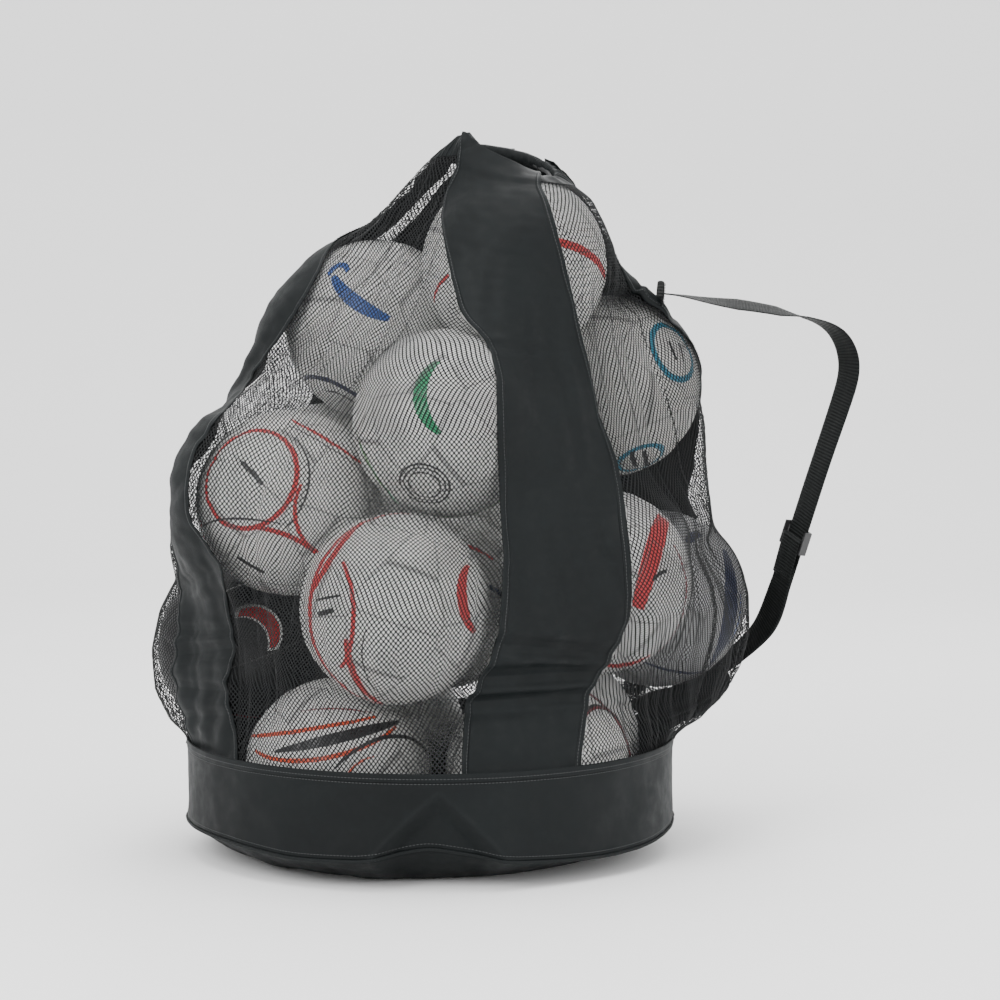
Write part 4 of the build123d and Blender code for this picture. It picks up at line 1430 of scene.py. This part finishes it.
piping_line = ring_points(band_radius(0.0) + 0.0004, seam_z - 0.0006)
piping = tube("seam_piping", piping_line, 0.0019, 10, closed=True)
paint_with(piping, TAPE)
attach(piping, "bag")
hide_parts("base_piping")

tape_rows = np.linspace(0, 1, 7)
tape_outer = np.stack([
    ring_points(
        band_radius(0.90 + 0.10 * h) + 0.0007 + 0.0005 * math.sin(math.pi * h),
        np.full(RN, BAND_TOP - 0.0095 + 0.0105 * h),
    )
    for h in tape_rows
])
tape_coords = paired(tape_outer[..., 2], round_at[None, :])
tape_inner = tape_outer - row_normals(tape_outer, True) * 0.0008
band_tape = sheet_pair("top_tape", tape_outer, tape_inner, True, tape_coords)
paint_with(band_tape, FABRIC)
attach(band_tape, "bag")
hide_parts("band_tape")


def stitches(name, line, out, pitch=0.0042, length=0.0029, width=0.0008, height=0.0005):
    """A row of small raised stitches along a line on a surface."""
    line = np.asarray(line, float)
    out = np.broadcast_to(np.asarray(out, float), line.shape)
    far = along(line)
    starts = np.arange(pitch, far[-1] - pitch, pitch)

    def at(where):
        return at_distance(where, far, line), unit(at_distance(where, far, out))

    first, rise = at(starts)
    last, _ = at(starts + length)
    way = unit(last - first)
    side = np.cross(way, rise) * width / 2
    middle = (first + last) / 2
    corners = []
    for spot, share, lift in ((first, 0.55, 0.15), (middle, 1.0, 1.0), (last, 0.55, 0.15)):
        corners += [spot - side * share, spot + rise * height * lift, spot + side * share]
    points = np.stack(corners, 1)
    base_index = np.arange(len(starts))[:, None] * 9
    quads = []
    for k in (0, 3):
        quads += [[k, k + 1, k + 4, k + 3], [k + 1, k + 2, k + 5, k + 4]]
    index = (base_index[:, None, :] + np.array(quads)[None]).reshape(-1, 4)
    made = fast_mesh(name, points.reshape(-1, 3), index)
    paint_with(made, THREAD)
    return made


closed_turns = np.concatenate([np.arange(RN), [0]])
stitch_rows = []
for number, (h, lift) in enumerate(((0.945, 0.0013), (0.885, 0.0003))):
    line = ring_points(band_radius(h) + lift, np.full(RN, BAND_TOP - (1 - h) * 0.094))
    out = line * [1, 1, 0]
    stitch_rows.append(stitches(f"band_stitches_{number + 1}", line[closed_turns], out[closed_turns]))
line = ring_points(band_radius(0.06) + 0.0002, seam_z + 0.0058)
stitch_rows.append(stitches("band_stitches_3", line[closed_turns], (line * [1, 1, 0])[closed_turns]))
for made in stitch_rows:
    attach(made, "bag")

# ---------------------------------------------------------------- edges of the panels


EDGE_WIDE = 0.0075


def panel_edge(number, side, at_high):
    """Folded edge of a panel where it is sewn over the net, with its stitching."""
    _, outer, out = panels[side]
    step = -1 if at_high else 1
    first = outer.shape[1] - 1 if at_high else 0
    columns = [first, first + step, first + 2 * step, first + 3 * step]
    strip = outer[:, columns] + out[:, columns] * np.array([0.0002, 0.0008, 0.0008, 0.0001])[None, :, None]
    if at_high:
        strip = strip[:, ::-1]
    flat = strip[:-4]
    up = along(flat[:, 0])
    wide = np.linspace(0, EDGE_WIDE, 4)
    coords = paired(wide[None, :], up[:, None])
    made = sheet_pair(f"panel_edge_{number}", flat, flat - out[:-4][:, columns] * 0.0006, coords=coords)
    paint_with(made, FABRIC)
    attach(made, "bag")
    middle = outer[:-4, first + 2 * step] + out[:-4, first + 2 * step] * 0.0010
    thread_row = stitches(f"panel_stitches_{number}", middle, out[:-4, first + 2 * step])
    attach(thread_row, "bag")
    return [made, thread_row]


for number, side in enumerate(PANELS):
    panel_edge(2 * number + 1, side, False) + panel_edge(2 * number + 2, side, True)
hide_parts("panel_bindings")

# ---------------------------------------------------------------- mouth: hem, drawcord

hem_turn = np.arange(SU) / SU * 2 * math.pi
gathers = 0.0011 * np.sin(hem_turn * 23 + 1.3 * np.sin(hem_turn * 3))
HEM_SECTION = (
    (0.029, 0.0010), (0.024, 0.0016), (0.018, 0.0018), (0.012, 0.0022), (0.006, 0.0020),
    (0.002, 0.0012), (0.0, -0.001), (-0.0012, -0.0035), (0.0, -0.0070), (0.004, -0.0090),
    (0.009, -0.0096), (0.014, -0.0084), (0.017, -0.0050),
    (0.019, -0.0012), (0.024, -0.0006), (0.029, -0.0006),
)
columns = np.arange(SU, dtype=float)
hem_grid = []
for down, lift in HEM_SECTION:
    v = np.full(SU, SV - 1 - max(down, 0) / ROW_STEP)
    spot = sample(skin, v, columns)
    out = unit(sample(skin_normals, v, columns))
    spot[:, 2] += max(-down, 0)
    depth = gathers * (1 if lift > 0 else 0.6) * smooth_step(0.029, 0.018, down)
    hem_grid.append(spot + out * (lift + depth)[:, None])
hem_grid = np.stack(hem_grid + [hem_grid[0]])
hem_across, hem_up = (columns / SU * 0.36)[None, :], np.linspace(0, 0.07, len(hem_grid))[:, None]
hem_coords = paired(hem_across, hem_up)
hem = fast_mesh("gathered_hem", hem_grid, grid_quads(len(hem_grid), SU, True), hem_coords)
paint_with(hem, FABRIC)
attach(hem, "bag")
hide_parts("mouth_hem")

CORD_R, TAIL_OFF = 0.051, 0.007
cord_turns = np.radians([109, 127, 150, 180, 210, 240, 270, 300, 330, 360, 390, 413, 431])
hem_rim = sample(skin, np.full(len(cord_turns), SV - 1.0), cord_turns / (2 * math.pi) * SU)
loop = np.stack(
    [NECK[0] + CORD_R * np.cos(cord_turns), NECK[1] + CORD_R * np.sin(cord_turns), hem_rim[:, 2] - 0.009], -1
)
loop[[0, -1], 2] = CORD_Z
tail_y = node_box("cord_tips")[0][1] + 0.001
left_x, right_x = NECK[0] - TAIL_OFF, NECK[0] + TAIL_OFF
cord_line = np.concatenate([
    np.linspace([left_x, tail_y, CORD_Z], [left_x, 0.062, CORD_Z], 12),
    smooth_path([[left_x, 0.060, CORD_Z], *loop, [right_x, 0.060, CORD_Z]], (0, -1, 0), (0, 1, 0), 160),
    np.linspace([right_x, 0.062, CORD_Z], [right_x, tail_y, CORD_Z], 12),
])
drawcord = tube("braided_drawcord", cord_line, 0.0025, 12)
paint_with(drawcord, BRAID)
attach(drawcord, "bag")
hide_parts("drawcord")

# ---------------------------------------------------------------- shoulder strap


def ribbon(name, centres, across, wide, start=0.0, rib=0.004, depth=0.00030, thick=WEB_T):
    """Webbing with cross ribs and rounded selvedges along a line of centres."""
    far_rough = along(centres)
    count = max(int(far_rough[-1] / (rib / 5)), 8)
    where = np.linspace(0, far_rough[-1], count)
    line = at_distance(where, far_rough, centres)
    side = at_distance(where, far_rough, np.broadcast_to(across, centres.shape))
    width = np.interp(where, far_rough, np.broadcast_to(wide, len(centres)))
    for _ in range(4):
        line[1:-1] = (line[:-2] + 2 * line[1:-1] + line[2:]) / 4
    way = unit(np.gradient(line, axis=0))
    side = square_up(side, way)
    out = np.cross(side, way)
    rib_lift = depth * (np.abs(np.sin((where + start) * math.pi / rib)) - 0.5)
    face = np.linspace(-1, 1, 13)
    section = []
    for flip in (1, -1):
        for share in face * flip:
            edge = math.sqrt(max(0.0, 1 - abs(share) ** 14))
            ridges = 1 - 0.15 * math.cos(share * 30)
            height = flip * (thick / 2 * (0.35 + 0.65 * edge)) * ridges
            lift = height + flip * rib_lift * edge
            section.append(line + side * (width / 2 * share)[:, None] + out * lift[:, None])
    grid = np.stack(section, 1)
    wraps = np.concatenate([face, face[::-1]])
    coords = paired(wraps[None, :] * WEB_W / 2, (where + start)[:, None])
    made = fast_mesh(name, grid, grid_quads(grid.shape[0], grid.shape[1], True), coords)
    caps = bmesh.new()
    caps.from_mesh(made.data)
    caps.verts.ensure_lookup_table()
    sides = grid.shape[1]
    last = (grid.shape[0] - 1) * sides
    for base_point in (0, last):
        for k in range(12):
            far_k = base_point + sides - 1 - k
            quad = [base_point + k, base_point + k + 1, far_k - 1, far_k]
            caps.faces.new([caps.verts[i] for i in (quad if base_point == 0 else quad[::-1])])
    caps.to_mesh(made.data)
    caps.free()
    paint_with(made, WEBBING)
    return made


strap = ribbon("webbing_strap", centres, across, wide)
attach(strap, "strap")
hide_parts("strap_webbing")

BAR_AT = SLIDER_AT - run_out * 0.00455
LOOP_R = 0.00245
half_turn = np.radians(np.arange(0, 181, 20))[:, None]
end_centres = np.concatenate([
    np.linspace(BAR_AT + run_out * LOOP_R + RUN * 0.015, BAR_AT + run_out * LOOP_R + RUN * 0.001, 5),
    BAR_AT + run_out * LOOP_R * np.cos(half_turn) - RUN * LOOP_R * np.sin(half_turn),
    np.linspace(BAR_AT - run_out * LOOP_R + RUN * 0.004, SLIDER_AT - run_out * 2 * LAYER + RUN * 0.052, 14),
])
end_loop = ribbon("sewn_end_loop", end_centres, run_across, WEB_W, start=0.002)
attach(end_loop, "slider")
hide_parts("strap_end_loop")

# two rows of stitching across where the end is sewn down
for number, offset in enumerate((0.024, 0.046)):
    spot = SLIDER_AT - run_out * (2 * LAYER + 0.0011) + RUN * offset
    row = np.linspace(spot - run_across * 0.016, spot + run_across * 0.016, 12)
    made = stitches(
        f"end_stitches_{number + 1}", row, -run_out, pitch=0.0036, length=0.0027, width=0.001, height=0.0006
    )
    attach(made, "slider")

# the patch that holds the strap's upper end
rise = unit(np.cross(PATCH_OUT, PATCH_ROUND))
patch_mid = STRAP_TOP - PATCH_OUT * 0.0047
PATCH_HALF = 0.0155
cells = np.linspace(-1, 1, 25)
px, pz = np.meshgrid(cells, cells)
squash = 1 - 0.10 * (px**2) * (pz**2)
dome = 0.0016 * (1 - np.maximum(np.abs(px), np.abs(pz)) ** 6) - 0.0012 * (px**2 + pz**2) * 0.5
patch_grid = patch_mid + (px * squash * PATCH_HALF)[..., None] * PATCH_ROUND
patch_grid = patch_grid + (pz * squash * PATCH_HALF)[..., None] * rise
patch_outer = patch_grid + dome[..., None] * PATCH_OUT
patch_coords = np.stack([px * PATCH_HALF, pz * PATCH_HALF], -1)
patch = sheet_pair("webbing_patch", patch_outer, patch_grid - PATCH_OUT * 0.0012 * 1.4, coords=patch_coords)
paint_with(patch, WEBBING)
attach(patch, "bag")
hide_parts("strap_patch")
corners = [(-0.8, -0.8), (0.8, -0.8), (0.8, 0.8), (-0.8, 0.8)]
corners += [(-0.8, -0.8), (0.8, 0.8), (0.8, -0.8), (-0.8, 0.8)]
box_line = np.concatenate([np.linspace(a, b, 10) for a, b in zip(corners, corners[1:])])
box_spots = patch_mid + box_line[:, :1] * PATCH_HALF * PATCH_ROUND
box_spots = box_spots + box_line[:, 1:] * PATCH_HALF * rise + PATCH_OUT * 0.0012
made = stitches(
    "patch_stitches", box_spots, PATCH_OUT, pitch=0.0034, length=0.0026, width=0.0009, height=0.0005
)
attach(made, "bag")

# the narrow loop that holds the ring on the band
bar_out = float(NEAR_BAR @ RADIAL)
face_r = BAND_R + 0.0030
TAB_W = 0.012
loop_turn = np.radians(np.arange(-60, 241, 20))
loop_r = 0.0055
bar_z = NEAR_BAR[2]
tab_path = [(face_r, bar_z - 0.064), (face_r, bar_z - 0.040), (face_r, bar_z - 0.018)]
tab_path += [(face_r + 0.0008, bar_z - 0.009)]
tab_path += [(bar_out - loop_r * math.cos(t), bar_z + loop_r * math.sin(t)) for t in loop_turn]
tab_path += [(face_r + 0.0040, bar_z - 0.011), (face_r + 0.0020, bar_z - 0.020)]
tab_path += [(face_r + 0.0018, bar_z - 0.048)]
tab_line = np.array([RADIAL * r + np.array([0, 0, z]) for r, z in tab_path])
tab = ribbon("ring_tab", tab_line, ROUND, TAB_W, rib=0.0026, depth=0.0002, thick=0.0013)
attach(tab, "bag")
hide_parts("strap_tab")
for number, drop in enumerate((0.024, 0.043)):
    spot = RADIAL * (face_r + 0.0027) + np.array([0, 0, bar_z - drop])
    row = np.linspace(spot - ROUND * 0.0052, spot + ROUND * 0.0052, 8)
    made = stitches(f"tab_stitches_{number + 1}", row, RADIAL, pitch=0.0022, length=0.0017)
    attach(made, "bag")

# ---------------------------------------------------------------- cord lock's spring

spring = placed("coil_spring", frame["nodes"]["cord_lock_spring"].data.copy())
paint_with(spring, STEEL)
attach(spring, "cord_lock")
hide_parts("cord_lock_spring")
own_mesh(spring)

# ---------------------------------------------------------------- kept CAD pieces

FINISHES = {
    "cord_lock_body": PLASTIC, "cord_lock_button": PLASTIC, "cord_tips": PLASTIC, "strap_slider": PLASTIC,
    "eyelets": STEEL, "strap_ring": STEEL,
    "ball_bladders": rubber("bladder_rubber", rgb(0.02, 0.02, 0.022), rgb(0.05, 0.05, 0.052)),
    "ball_valves": rubber("valve_rubber", rgb(0.03, 0.03, 0.03), rgb(0.09, 0.09, 0.09)),
}
for name, finish in FINISHES.items():
    paint_with(frame["nodes"][name], finish)

# ---------------------------------------------------------------- floor

SWEEP_AT, SWEEP_R = 2.6, 1.6
sweep = np.radians(np.arange(0, 91, 6))
profile = [(-7.0, 0.0), (SWEEP_AT, 0.0)]
profile += [(SWEEP_AT + SWEEP_R * math.sin(a), SWEEP_R - SWEEP_R * math.cos(a)) for a in sweep[1:]]
profile += [(SWEEP_AT + SWEEP_R, 5.0)]
stage_grid = np.array([[(x, y, z) for x in (-8.0, 8.0)] for y, z in profile])
stage = fast_mesh("studio_floor", stage_grid, grid_quads(len(profile), 2))
s = Shader("studio_floor_paint")
grain = s.noise(3.0, 3.0, s.place())
s.set(Base_Color=s.mix(grain, rgb(0.86, 0.86, 0.86), rgb(0.89, 0.89, 0.89)), Roughness=0.75)
paint_with(stage, s.material)
